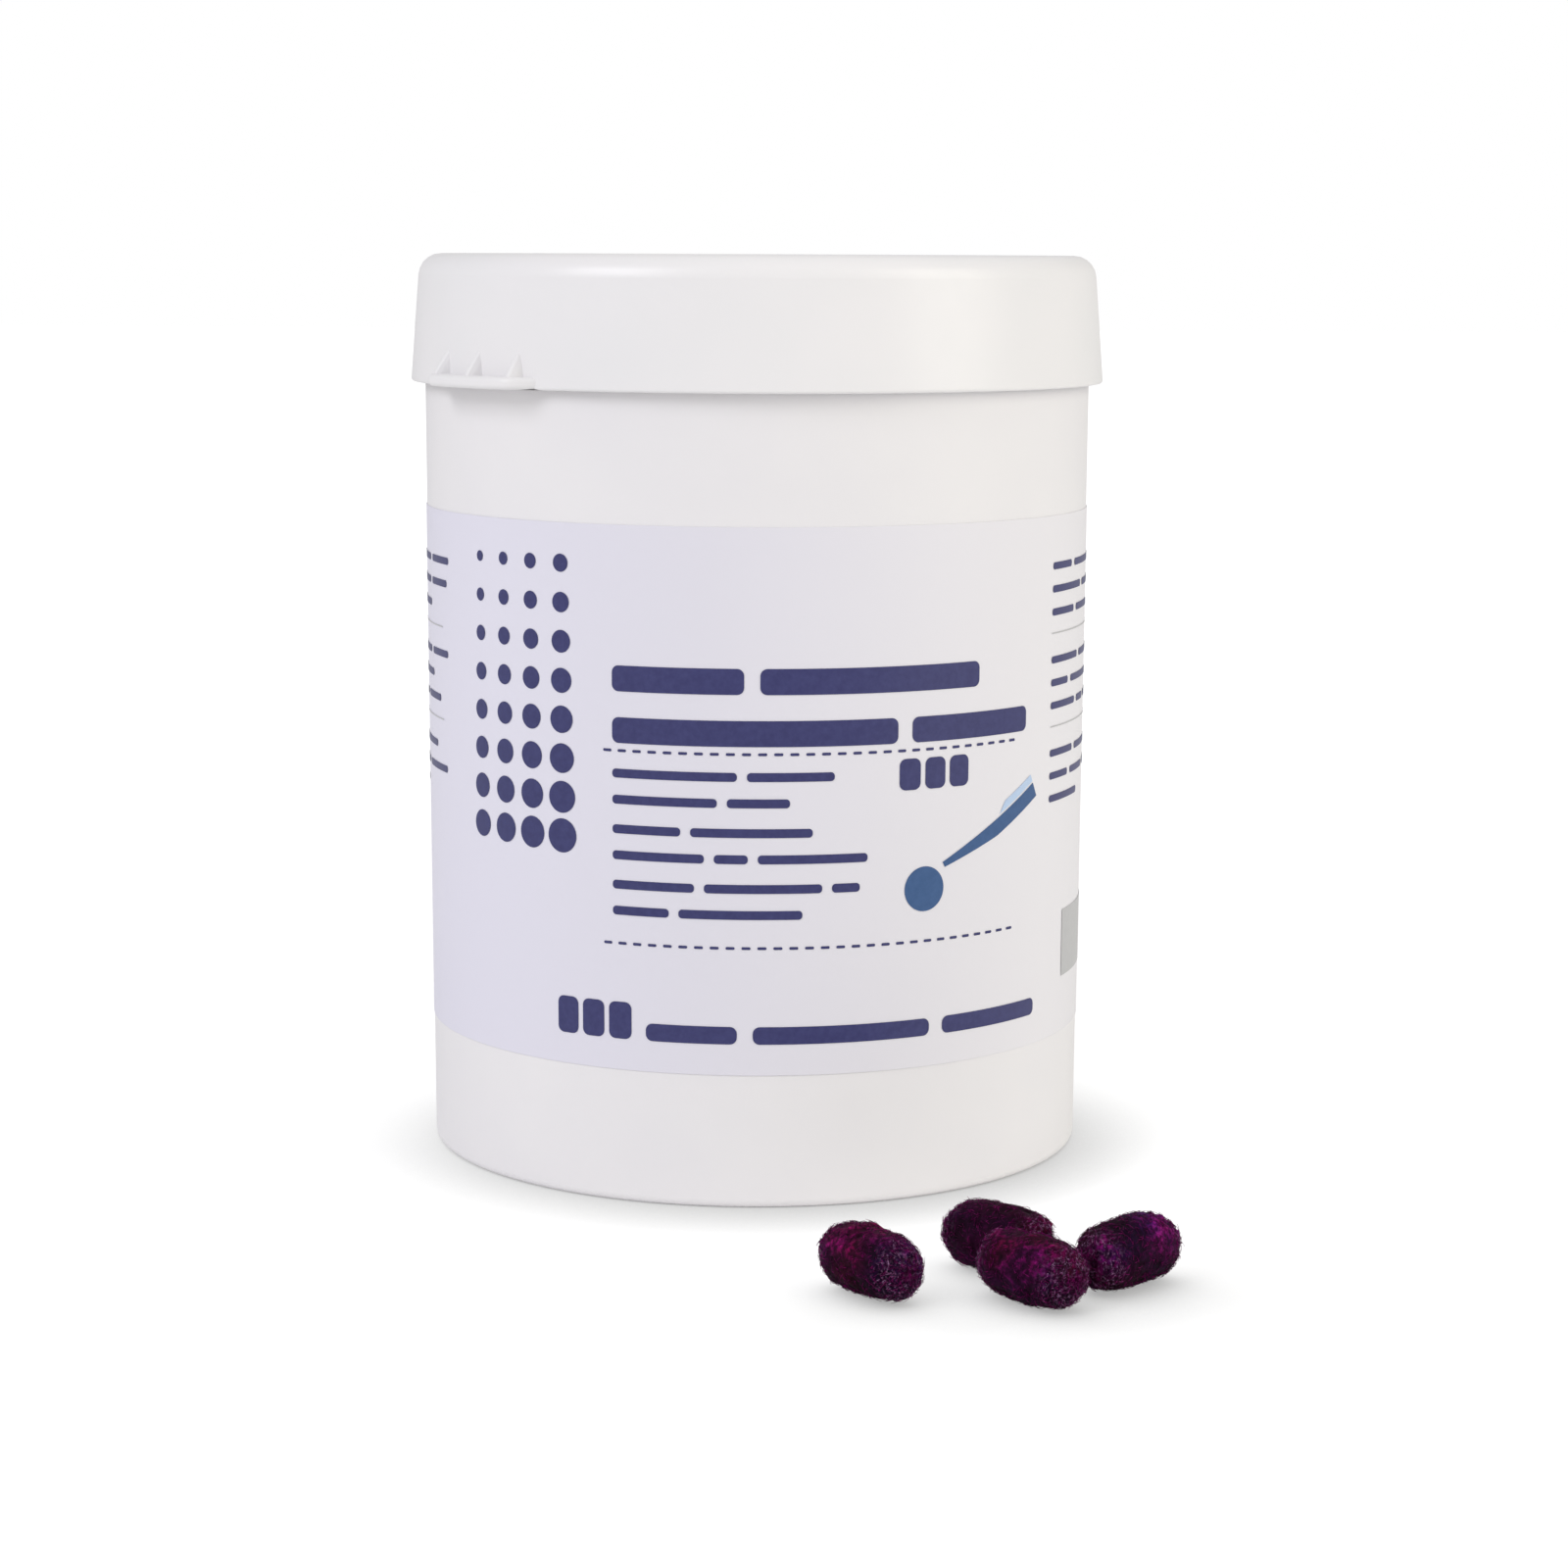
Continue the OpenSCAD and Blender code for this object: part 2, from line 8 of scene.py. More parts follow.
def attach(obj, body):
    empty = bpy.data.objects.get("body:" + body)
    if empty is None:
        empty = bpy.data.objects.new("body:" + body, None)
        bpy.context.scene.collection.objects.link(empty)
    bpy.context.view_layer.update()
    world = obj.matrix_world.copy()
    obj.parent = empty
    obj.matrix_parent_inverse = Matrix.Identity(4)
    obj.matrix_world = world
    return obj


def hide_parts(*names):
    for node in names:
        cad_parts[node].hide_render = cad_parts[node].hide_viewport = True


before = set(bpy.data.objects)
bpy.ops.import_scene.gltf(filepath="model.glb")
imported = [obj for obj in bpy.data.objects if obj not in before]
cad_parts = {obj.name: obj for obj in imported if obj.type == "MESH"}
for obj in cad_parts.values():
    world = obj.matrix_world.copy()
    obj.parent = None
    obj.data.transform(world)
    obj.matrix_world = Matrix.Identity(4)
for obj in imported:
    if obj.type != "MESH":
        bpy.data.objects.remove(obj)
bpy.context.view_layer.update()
scene = bpy.context.scene
scene.view_settings.view_transform = "Standard"
mm = 0.001
print("frame loaded:", len(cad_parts), "nodes")

# camera, fitted to the tub's outline in the photograph; lengths in millimetres, angles in degrees
camera = {"lens": 82.23, "sensor": 36.0, "place": (0.0, -387.3, 95.98), "yaw": 0.453, "pitch": 8.48, "roll": 0.257}


def aimCamera(c):
    # forward comes from yaw and pitch; right and up are turned round it by the roll
    yaw, pitch, roll = (math.radians(c[k]) for k in ("yaw", "pitch", "roll"))
    forward = np.array([math.sin(yaw) * math.cos(pitch), math.cos(yaw) * math.cos(pitch), -math.sin(pitch)])
    level = np.array([math.cos(yaw), -math.sin(yaw), 0.0])
    rise = np.cross(level, forward)
    right = math.cos(roll) * level + math.sin(roll) * rise
    up = -math.sin(roll) * level + math.cos(roll) * rise
    place = np.array(c["place"]) * mm
    data = bpy.data.cameras.new("camera")
    data.lens, data.sensor_width = c["lens"], c["sensor"]
    data.clip_start, data.clip_end = 0.01, 20.0
    eye = bpy.data.objects.new("camera", data)
    scene.collection.objects.link(eye)
    rows = np.column_stack([right, up, -forward, place])
    eye.matrix_world = Matrix([list(r) for r in rows] + [[0, 0, 0, 1]])
    scene.camera = eye


aimCamera(camera)


def linear(code):
    # sRGB hex to linear red, green, blue, and 1
    parts = [int(code[i:i + 2], 16) / 255 for i in (1, 3, 5)]
    return tuple(c / 12.92 if c <= 0.04045 else ((c + 0.055) / 1.055) ** 2.4 for c in parts) + (1.0,)


def addNode(tree, kind, settings=None, inputs=None):
    # settings are the node's properties; inputs are socket values, or the outputs that feed them
    node = tree.nodes.new(kind)
    for name, value in (settings or {}).items():
        setattr(node, name, value)
    for name, value in (inputs or {}).items():
        if isinstance(value, bpy.types.NodeSocket):
            tree.links.new(value, node.inputs[name])
        else:
            node.inputs[name].default_value = value
    return node


def newMaterial(name, inputs):
    # a Principled material with those values on its own sockets
    material = bpy.data.materials.new(name)
    material.use_nodes = True
    tree = material.node_tree
    tree.nodes.clear()
    shader = addNode(tree, "ShaderNodeBsdfPrincipled", None, inputs)
    addNode(tree, "ShaderNodeOutputMaterial", None, {"Surface": shader.outputs[0]})
    return material, tree, shader


def colourRamp(tree, factor, stops):
    # colours at positions along a factor, given as (position, hex)
    node = addNode(tree, "ShaderNodeValToRGB", None, {"Fac": factor})
    elements = node.color_ramp.elements
    while len(elements) < len(stops):
        elements.new(0.5)
    for element, (position, code) in zip(elements, stops):
        element.position, element.color = position, linear(code)
    return node.outputs["Color"]


seedStep = (20.0, 14.0, -20.0)          # how far a seed of 1 moves a noise, in millimetres


def noiseAt(tree, pitch, detail=2.0, roughness=0.5, seed=0.0):
    # a noise whose lumps are about that many millimetres apart, on Object coordinates
    coords = addNode(tree, "ShaderNodeTexCoord").outputs["Object"]
    moved = tuple(step * mm * seed for step in seedStep)
    place = addNode(tree, "ShaderNodeMapping", None, {"Vector": coords, "Location": moved})
    return addNode(tree, "ShaderNodeTexNoise", None, {
        "Vector": place.outputs[0], "Scale": 1 / (pitch * mm), "Detail": detail, "Roughness": roughness,
    }).outputs["Fac"]


def spread(tree, factor, low, high):
    # maps a noise's middle range, 0.3 to 0.7, onto low to high
    return addNode(tree, "ShaderNodeMapRange", None, {
        "Value": factor, "From Min": 0.3, "From Max": 0.7, "To Min": low, "To Max": high,
    }).outputs[0]


def bumpFrom(tree, shader, height, depth):
    # depth in millimetres between the height's 0 and 1
    bump = addNode(tree, "ShaderNodeBump", None, {"Height": height, "Distance": depth * mm, "Strength": 1.0})
    tree.links.new(bump.outputs[0], shader.inputs["Normal"])


# Polypropylene, injection moulded in a fine-eroded mould: a white satin plastic that lets no shapes through. The
# mould's grain and the sink of the wall keep its highlights broad and a little uneven. Sizes in millimetres.
plastic = {"cloud": 14.0, "satin": 1.6, "satinRange": 0.07, "grain": 0.4, "grainShare": 0.12, "sink": 9.0,
           "sinkDepth": 0.03}


def polypropylene(name, light, dark, roughness):
    material, tree, shader = newMaterial(name, {"IOR": 1.49})
    cloud = noiseAt(tree, plastic["cloud"])
    tree.links.new(colourRamp(tree, cloud, [(0.3, dark), (0.7, light)]), shader.inputs["Base Color"])
    satin = noiseAt(tree, plastic["satin"], 3.0, 0.6)
    tree.links.new(spread(tree, satin, roughness, roughness + plastic["satinRange"]), shader.inputs["Roughness"])
    relief = addNode(tree, "ShaderNodeMath", {"operation": "MULTIPLY_ADD"}, {
        0: noiseAt(tree, plastic["grain"]), 1: plastic["grainShare"],
        2: noiseAt(tree, plastic["sink"], 1.0, 0.4, 1.0),
    }).outputs[0]
    bumpFrom(tree, shader, relief, plastic["sinkDepth"])
    return material


tubPlastic = polypropylene("satinPolypropyleneTub", "#EBE9EB", "#E8E6E9", 0.34)
lidPlastic = polypropylene("satinPolypropyleneLid", "#EBE9EB", "#E8E7E9", 0.29)


# Label film, a white polypropylene film under a satin varnish: cooler than the tub, and its left side carries a
# painted cool cast of light, as from the cool lamp on that side. It lies with a ripple of a few hundredths of a
# millimetre. Sizes in millimetres.
film = {"left": -34.0, "right": 30.0, "satin": 2.5, "ripple": 11.0, "rippleDepth": 0.05}
varnish = {"IOR": 1.46, "Coat Weight": 0.15, "Coat Roughness": 0.25}


def labelFilmMaterial():
    material, tree, shader = newMaterial("satinLabelFilm", varnish)
    across = addNode(tree, "ShaderNodeSeparateXYZ", None, {
        0: addNode(tree, "ShaderNodeTexCoord").outputs["Object"]}).outputs["X"]
    # painted light: the tint runs from a cool cast on the left to neutral on the right, along the film's Object X
    side = addNode(tree, "ShaderNodeMapRange", None, {
        "Value": across, "From Min": film["left"] * mm, "From Max": film["right"] * mm})
    tree.links.new(colourRamp(tree, side.outputs[0], [(0.0, "#E0DEEC"), (0.45, "#E0DEE8"), (1.0, "#E7E5EA")]),
                   shader.inputs["Base Color"])
    satin = noiseAt(tree, film["satin"], 3.0, 0.6, 5.0)
    tree.links.new(spread(tree, satin, 0.4, 0.5), shader.inputs["Roughness"])
    bumpFrom(tree, shader, noiseAt(tree, film["ripple"], 1.0, 0.4, 7.0), film["rippleDepth"])
    return material


# Offset ink under the varnish: even, with a slight mottle where the film took less of it, in millimetres.
inkMottle = 0.7


def inkMaterial(name, full, thin, seed):
    material, tree, shader = newMaterial(name, varnish)
    mottle = noiseAt(tree, inkMottle, 3.0, 0.6, seed)
    tree.links.new(colourRamp(tree, mottle, [(0.35, full), (0.72, thin)]), shader.inputs["Base Color"])
    tree.links.new(spread(tree, mottle, 0.42, 0.5), shader.inputs["Roughness"])
    return material


labelFilm = labelFilmMaterial()
navyInk = inkMaterial("navyOffsetInk", "#2A2B62", "#34366C", 1.0)
blueInk = inkMaterial("blueOffsetInk", "#2B5284", "#34598B", 2.0)
paleBlueInk = inkMaterial("paleBlueOffsetInk", "#B3C9E8", "#BCD0EB", 3.0)
greyInk = inkMaterial("greyOffsetInk", "#B7B7B9", "#BEBEC0", 4.0)


# Cotton soaked in dye: felted fibre, magenta to violet where the fibre is thin. Painted shade makes it nearly black in
# its hollows and lighter on its lumps, and a painted sheen makes the loose fibre of the ends pale lilac. It is damp
# through but dull, as felt is. Sizes in millimetres.
cotton = {"felt": 0.45, "feltDepth": 0.12, "fleck": 0.32, "paintedSheenColour": "#B88AB8"}


def soakedCottonMaterial():
    material, tree, shader = newMaterial("soakedCotton", {
        "IOR": 1.4, "Roughness": 0.68, "Specular IOR Level": 0.08, "Subsurface Weight": 0.08,
        "Subsurface Radius": (1.0, 0.15, 0.5), "Subsurface Scale": 0.0005,
    })
    tone = addNode(tree, "ShaderNodeAttribute", {"attribute_name": "tone"})
    parts = addNode(tree, "ShaderNodeSeparateColor", None, {"Color": tone.outputs["Color"]})
    depth, end, hue = parts.outputs            # how far out of the hollows, how near an end, violet to crimson
    # painted shade: the felt noise that raises the bump also makes the dye lighter on its lumps and darker in its
    # hollows
    felt = noiseAt(tree, cotton["felt"], 3.0, 0.65, 2.0)
    level = addNode(tree, "ShaderNodeMath", {"operation": "MULTIPLY"}, {
        0: depth, 1: spread(tree, felt, 0.35, 1.3)}).outputs[0]
    violet = colourRamp(tree, level, [(0.0, "#0A010E"), (0.4, "#24052F"), (0.75, "#4C0A58"), (1.0, "#761A78")])
    crimson = colourRamp(tree, level, [(0.0, "#0D0106"), (0.4, "#36041F"), (0.75, "#72063F"), (1.0, "#9A1054")])
    dye = addNode(tree, "ShaderNodeMix", {"data_type": "RGBA"}, {"Factor": hue, 6: violet, 7: crimson}).outputs[2]
    # painted sheen: pale lilac flecks near the ends
    flecks = spread(tree, noiseAt(tree, cotton["fleck"], 2.0, 0.6, 9.0), -1.3, 1.1)
    paintedSheen = addNode(tree, "ShaderNodeMath", {"operation": "MULTIPLY", "use_clamp": True}, {
        0: flecks, 1: end}).outputs[0]
    mixed = addNode(tree, "ShaderNodeMix", {"data_type": "RGBA"}, {
        "Factor": paintedSheen, 6: dye, 7: linear(cotton["paintedSheenColour"])}).outputs[2]
    tree.links.new(mixed, shader.inputs["Base Color"])
    bumpFrom(tree, shader, felt, cotton["feltDepth"])
    return material


soakedCotton = soakedCottonMaterial()
print("materials made")


def makePiece(name, points, faces, material, body, slot, replaced=()):
    # a smooth mesh from points in millimetres; faces is an array of quads, or a list of faces of any length
    mesh = bpy.data.meshes.new(name)
    mesh.from_pydata((np.asarray(points, float) * mm).tolist(), [], [list(map(int, f)) for f in faces])
    mesh.polygons.foreach_set("use_smooth", np.ones(len(mesh.polygons), bool))
    mesh.materials.append(material)
    piece = bpy.data.objects.new(name, mesh)
    scene.collection.objects.link(piece)
    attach(piece, body)
    if replaced:
        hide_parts(*replaced)
    return piece


def gridQuads(rows, columns, closeColumns=False, start=0):
    # quads over a grid of points stored row by row; closeColumns joins the last column to the first
    i = np.arange(rows - 1)[:, None]
    j = np.arange(columns if closeColumns else columns - 1)[None, :]
    k = (j + 1) % columns
    corners = np.broadcast_arrays(i * columns + j, i * columns + k, (i + 1) * columns + k, (i + 1) * columns + j)
    return np.stack(corners, -1).reshape(-1, 4) + start


def roundedPath(corners, steps=6, support=0.1):
    # A path through (x, y, radius) corners. Each corner becomes the arc that touches both its sides: its centre lies
    # on the bisector at radius / sin(half the corner), and it touches radius / tan(half) away from the corner. A
    # point just past each end of the arc keeps flat stretches flat in smooth shading. Radius 0 keeps the corner.
    points = np.array([c[:2] for c in corners], float)
    path = [points[0]]
    for before, here, after, (_, _, r) in zip(points, points[1:], points[2:], corners[1:]):
        toBefore = (before - here) / np.linalg.norm(before - here)
        toAfter = (after - here) / np.linalg.norm(after - here)
        if r == 0:
            path.append(here)
            continue
        half = math.acos(max(-1.0, min(1.0, float(toBefore @ toAfter)))) / 2
        reach = r / math.tan(half)
        bisector = (toBefore + toAfter) / np.linalg.norm(toBefore + toAfter)
        centre = here + bisector * r / math.sin(half)
        first, last = (here + toBefore * reach - centre) / r, (here + toAfter * reach - centre) / r
        sweep = math.pi - 2 * half
        t = np.linspace(0, 1, steps)[:, None]
        arc = centre + r * (np.sin((1 - t) * sweep) * first + np.sin(t * sweep) * last) / math.sin(sweep)
        path += [here + toBefore * (reach + support), *arc, here + toAfter * (reach + support)]
    return np.array(path + [points[-1]])


def lathe(profile, steps=480):
    # A closed body turned round Z: point(i, a) = (r_i cos a, r_i sin a, z_i) along a profile of (radius, height) that
    # starts and ends on the axis, where each pole is one point.
    a = np.arange(steps) / steps * 2 * np.pi
    r, z = profile[1:-1, 0][:, None], profile[1:-1, 1][:, None]
    rings = np.stack(np.broadcast_arrays(r * np.cos(a), r * np.sin(a), z), -1).reshape(-1, 3)
    points = np.vstack([rings, [[0, 0, profile[0, 1]], [0, 0, profile[-1, 1]]]])
    k = np.arange(steps)
    nextK = (k + 1) % steps
    lastRing = len(rings) - steps
    firstPole, lastPole = np.full(steps, len(rings)), np.full(steps, len(rings) + 1)
    faces = gridQuads(len(profile) - 2, steps, True).tolist()
    faces += np.stack([firstPole, nextK, k], -1).tolist()
    faces += np.stack([lastPole, lastRing + k, lastRing + nextK], -1).tolist()
    return points, faces


# the tub's values in millimetres, as in the part
tub = {
    "footR": 35.1, "draft": 0.005, "wall": 1.5, "height": 93.8, "floorZ": 2.2, "footRound": 0.8, "ringW": 2.2,
    "recess": 0.9, "gateR": 2.0, "gateH": 0.4, "innerRound": 2.4, "neckStep": 0.5, "shoulderZ": 83.3, "beadR": 0.5,
    "beadProud": 0.15, "beadDrop": 2.0, "rimChamfer": 0.25,
}


def wallR(z):
    return tub["footR"] + tub["draft"] * z


def beadArc(centreR, centreZ, r, lineR, side, steps=9):
    # the part of a bead's circle that stands proud of a vertical wall at lineR; side 1 is outwards, -1 inwards
    reach = math.acos(max(-1.0, min(1.0, side * (lineR - centreR) / r)))
    t = np.linspace(-reach, reach, steps) * side
    return [(centreR + side * r * math.cos(x), centreZ + r * math.sin(x), 0) for x in t]


def tubProfile(t):
    top, neck = t["height"], lambda z: wallR(z) - t["neckStep"]
    inner = lambda z: wallR(z) - t["wall"]
    recessR = t["footR"] - t["footRound"] - t["ringW"]
    beadZ = top - t["beadDrop"]
    beadOut = neck(beadZ) + t["beadProud"]
    return roundedPath([
        (0, t["recess"] - t["gateH"], 0),
        (t["gateR"], t["recess"] - t["gateH"], 0.1),
        (t["gateR"] + t["gateH"], t["recess"], 0.1),
        (recessR - t["recess"], t["recess"], 0.3),
        (recessR, 0, 0.2),
        (t["footR"], 0, t["footRound"]),
        (wallR(t["shoulderZ"]), t["shoulderZ"], 0.15),
        (neck(t["shoulderZ"]), t["shoulderZ"], 0.15),
        *beadArc(beadOut - t["beadR"], beadZ, t["beadR"], neck(beadZ), 1),
        (neck(top - t["rimChamfer"]), top - t["rimChamfer"], 0.08),
        (neck(top) - t["rimChamfer"], top, 0.08),
        (inner(top) + t["rimChamfer"], top, 0.08),
        (inner(top - t["rimChamfer"]), top - t["rimChamfer"], 0.08),
        (inner(t["floorZ"]), t["floorZ"], t["innerRound"]),
        (0, t["floorZ"], 0),
    ])


makePiece("tub_shell", *lathe(tubProfile(tub)), tubPlastic, "tub", "tub_plastic", ["tub"])

# the lid's values in millimetres, as in the part
lid = {
    "lowZ": 82.1, "lowR": 37.01, "topZ": 95.5, "lean": 1.05, "skirt": 0.9, "plate": 1.4, "round": 2.4,
    "innerRound": 0.6, "border": 3.2, "sink": 0.6, "slope": 0.5, "plugDepth": 4.6, "plug": 0.9, "plugLean": 0.35,
    "plugGap": 0.3, "lockR": 0.45, "lockZ": 90.1, "lockIn": 35.329,
}


def skirtR(z):
    return lid["lowR"] - lid["lean"] * (z - lid["lowZ"]) / (lid["topZ"] - lid["lowZ"])


def lidProfile(l):
    plateZ, topZ = l["topZ"] - l["plate"], l["topZ"]
    plugR = wallR(tub["height"] - l["plugDepth"]) - tub["wall"] - l["plugGap"]
    plugZ = plateZ - l["plugDepth"]
    inside = lambda z: skirtR(z) - l["skirt"]
    sinkR = skirtR(topZ) - l["border"]
    return roundedPath([
        (0, plateZ - l["sink"], 0),
        (plugR - l["plug"], plateZ - l["sink"], 0.3),
        (plugR - l["plug"], plugZ, 0.2),
        (plugR - l["plugLean"], plugZ, 0.15),
        (plugR, plugZ + 2 * l["plugLean"], 0.3),
        (plugR, plateZ, 0.25),
        (inside(plateZ), plateZ, l["innerRound"]),
        *beadArc(l["lockIn"] + l["lockR"], l["lockZ"], l["lockR"], inside(l["lockZ"]), -1),
        (inside(l["lowZ"]), l["lowZ"], 0.2),
        (l["lowR"], l["lowZ"], 0.28),
        (skirtR(topZ), topZ, l["round"]),
        (sinkR, topZ, 0.5),
        (sinkR - l["slope"], topZ - l["sink"], 0.5),
        (0, topZ - l["sink"], 0),
    ])


# The lift tab: a ledge on the lid's lower edge with three ribs that run up the skirt. Its root and its ribs are sunk
# a little into the skirt. A rib's top is round down to its shoulder, an angle in radians, and its hollow foot is deep.
tab = {
    "turn": 50.0, "reach": 2.0, "thick": 1.25, "rootW": 18.6, "tipW": 13.5, "round": 0.5, "corner": 2.2, "sunk": 0.5,
    "ribs": 3, "ribPitch": 6.1, "ribThick": 0.9, "ribFoot": 1.5, "ribH": 2.9, "ribReach": 1.6, "ribSunk": 0.3,
    "ribShoulder": 0.35, "ribDeep": 1.7,
}


def tabPlate(t):
    # The ledge's rim: an outline in plan, from the skirt round the tip and back, carries a rounded edge from the top
    # face to the underside; the first and last rows lie inside the skirt. Radial is X here and sideways is Y.
    tipR, rootR = lid["lowR"] + t["reach"], lid["lowR"] - t["sunk"]
    tipAngle, rootAngle = t["tipW"] / 2 / tipR, t["rootW"] / 2 / lid["lowR"]
    across = np.linspace(-1, 1, 61) * tipAngle
    tip = np.column_stack([tipR * np.cos(across), tipR * np.sin(across)])
    root = np.array([rootR * math.cos(rootAngle), rootR * math.sin(rootAngle)])
    taken = 10                                                  # points at each side that the rounded corner takes
    corners = [(root[0], -root[1], 0), (tip[0, 0], tip[0, 1], t["corner"]),
               *[(x, y, 0) for x, y in tip[taken:-taken]],
               (tip[-1, 0], tip[-1, 1], t["corner"]), (root[0], root[1], 0)]
    plan = roundedPath(corners)
    along = np.gradient(plan, axis=0)
    outward = np.column_stack([along[:, 1], -along[:, 0]]) / np.linalg.norm(along, axis=1)[:, None]
    edge = np.linspace(0, np.pi / 2, 6)
    r = t["round"]
    inset = np.concatenate([r * (1 - np.sin(edge)), r * (1 - np.cos(edge))])        # how far in from the outline
    height = np.concatenate([t["thick"] - r * (1 - np.cos(edge)), r * (1 - np.sin(edge))])
    rows = [np.column_stack([plan - outward * i, np.full(len(plan), h)]) for i, h in zip(inset, height)]
    deep = plan / np.linalg.norm(plan, axis=1)[:, None] * (rootR + 0.1)
    top = np.column_stack([deep, np.full(len(plan), t["thick"])])
    under = np.column_stack([deep, np.zeros(len(plan))])
    grid = np.array([top, *rows, under])
    return grid.reshape(-1, 3), gridQuads(len(grid), len(plan))[:, ::-1]


def tabRib(t, index):
    # A rib: its sloping edge from the ledge up to the skirt carries a section that is round on top and runs out into
    # a hollow at each foot, as a moulded rib does: half a circle, then a cosine down to the foot.
    low = np.array([lid["lowR"] + t["ribReach"], t["thick"] - t["ribSunk"]])
    high = np.array([skirtR(lid["lowZ"] + t["thick"] + t["ribH"]) - t["ribSunk"], t["thick"] + t["ribH"]])
    slope = (high - low) / np.linalg.norm(high - low)
    away = np.array([slope[1], -slope[0]])
    s = np.linspace(0, 1, 12)[:, None]
    spine = low + (high - low) * s
    half, foot, shoulder, deep = t["ribThick"] / 2, t["ribFoot"], t["ribShoulder"], t["ribDeep"]
    a = np.linspace(shoulder, np.pi / 2, 6)
    run = np.linspace(0, 1, 8)[:-1]
    oneSide = np.concatenate([foot - (foot - half * math.cos(shoulder)) * run ** 0.6, half * np.cos(a)])
    drop = half * (1 - math.sin(shoulder))
    oneOut = np.concatenate([-deep + (deep - drop) * (1 - np.cos(run * np.pi)) / 2, half * np.sin(a) - half])
    sideways = np.concatenate([oneSide, -oneSide[-2::-1]])
    out = np.concatenate([oneOut, oneOut[-2::-1]])
    radial = spine[:, 0][:, None] + away[0] * out
    up = spine[:, 1][:, None] + away[1] * out
    grid = np.stack([radial, np.broadcast_to(sideways, radial.shape), up], -1)
    turn = (index - (t["ribs"] - 1) / 2) * t["ribPitch"] / lid["lowR"]
    points = grid.reshape(-1, 3)
    x, y = points[:, 0], points[:, 1]
    points = np.column_stack([x * math.cos(turn) - y * math.sin(turn), x * math.sin(turn) + y * math.cos(turn),
                              points[:, 2]])
    return points, gridQuads(len(spine), len(out))


def onLid(points, t):
    # from the tab's own frame to its place on the lid
    a = math.radians(-90 - t["turn"])
    x, y, z = points.T
    return np.column_stack([x * math.cos(a) - y * math.sin(a), x * math.sin(a) + y * math.cos(a), z + lid["lowZ"]])


makePiece("lid_shell", *lathe(lidProfile(lid)), lidPlastic, "lid", "lid_plastic", ["lid"])
platePoints, plateFaces = tabPlate(tab)
makePiece("lift_tab", onLid(platePoints, tab), plateFaces, lidPlastic, "lid", "lid_plastic", ["lid"])
for index in range(tab["ribs"]):
    ribPoints, ribFaces = tabRib(tab, index)
    makePiece(f"lift_tab_rib_{index + 1}", onLid(ribPoints, tab), ribFaces, lidPlastic, "lid", "lid_plastic", ["lid"])
print("tub, lid and lift tab made")

# the label and its print, in millimetres: x runs along the wall from the front, z up from the label's lower edge
label = {"z": 13.8, "height": 55.2, "glue": 0.02, "thick": 0.07, "edgeRound": 0.03, "edgeSupport": 0.005,
         "seam": 7.0, "inkLift": 0.045}
midR = wallR(label["z"] + label["height"] / 2) + label["glue"] + label["thick"]


def labelSheet(l, steps=471):
    # A strip round the wall that carries a closed rectangular section with rounded corners, and ends at the seam.
    half = math.pi - math.radians(l["seam"] / 2)
    a = np.linspace(-half, half, steps)
    low, high = l["z"], l["z"] + l["height"]
    inR, outR = l["glue"], l["glue"] + l["thick"]
    r = l["edgeRound"]
    section = roundedPath([
        (inR, (low + high) / 2, 0), (inR, low, r), (outR, low, r), (outR, (low + high) / 2, 0), (outR, high, r),
        (inR, high, r), (inR, (low + high) / 2, 0),
    ], 4, l["edgeSupport"])[:-1]
    radius = wallR(section[:, 1]) + section[:, 0]
    x = radius[None, :] * np.sin(a)[:, None]
    y = -radius[None, :] * np.cos(a)[:, None]
    z = np.broadcast_to(section[:, 1], x.shape)
    points = np.stack([x, y, z], -1).reshape(-1, 3)
    columns = len(section)
    faces = gridQuads(steps, columns, True).tolist()
    faces.append(list(range(columns))[::-1])
    faces.append(list(range((steps - 1) * columns, steps * columns)))
    return points, faces


makePiece("label_sheet", *labelSheet(label), labelFilm, "tub", "label_film", ["label"])


# a printed bar's corner is the least of a share of its height, a share of its length and a largest radius
bar = {"heightShare": 0.42, "lengthShare": 0.3, "largest": 0.7, "step": 0.4}


def barShape(length, height):
    # a ribbon with rounded corners: half its height is that of a rounded rectangle
    corner = min(bar["heightShare"] * height, bar["lengthShare"] * length, bar["largest"])
    bend = corner * (1 - np.cos(np.linspace(0, np.pi / 2, 6)))
    middle = np.linspace(corner, length - corner, max(2, int(length / bar["step"])))[1:-1]
    s = np.concatenate([bend, middle, length - bend[::-1]])
    near = np.minimum(np.minimum(s, length - s), corner)
    half = height / 2 - corner + np.sqrt(np.maximum(corner ** 2 - (corner - near) ** 2, 0))
    return s, height / 2 - half, height / 2 + half


def discShape(d):
    # a ribbon whose edges are the two halves of a circle, cut a little short so that it ends in no point
    cut = 0.05
    a = np.linspace(cut, np.pi - cut, 28)
    half = d / 2 * np.sin(a)
    return d / 2 * (1 - np.cos(a)) - d / 2, -half, half


def printedMarks(marks):
    # Each mark is (x, z, shape, rise): a ribbon along s between two edges, turned by rise, then laid on the wall:
    # point = (r sin(x / midR), -r cos(x / midR), z) with r just over the label's face at that height.
    points, faces, start = [], [], 0
    for x, z, (s, low, high), rise in marks:
        c, d = math.cos(rise), math.sin(rise)
        alongS, acrossH = np.stack([s, s]), np.stack([low, high])
        wallX = x + alongS * c - acrossH * d
        height = label["z"] + z + alongS * d + acrossH * c
        r = wallR(height) + label["glue"] + label["thick"] + label["inkLift"]
        a = wallX / midR
        points.append(np.stack([r * np.sin(a), -r * np.cos(a), height], -1).reshape(-1, 3))
        faces.append(gridQuads(2, len(s), False, start))
        start += 2 * len(s)
    return np.vstack(points), np.vstack(faces)


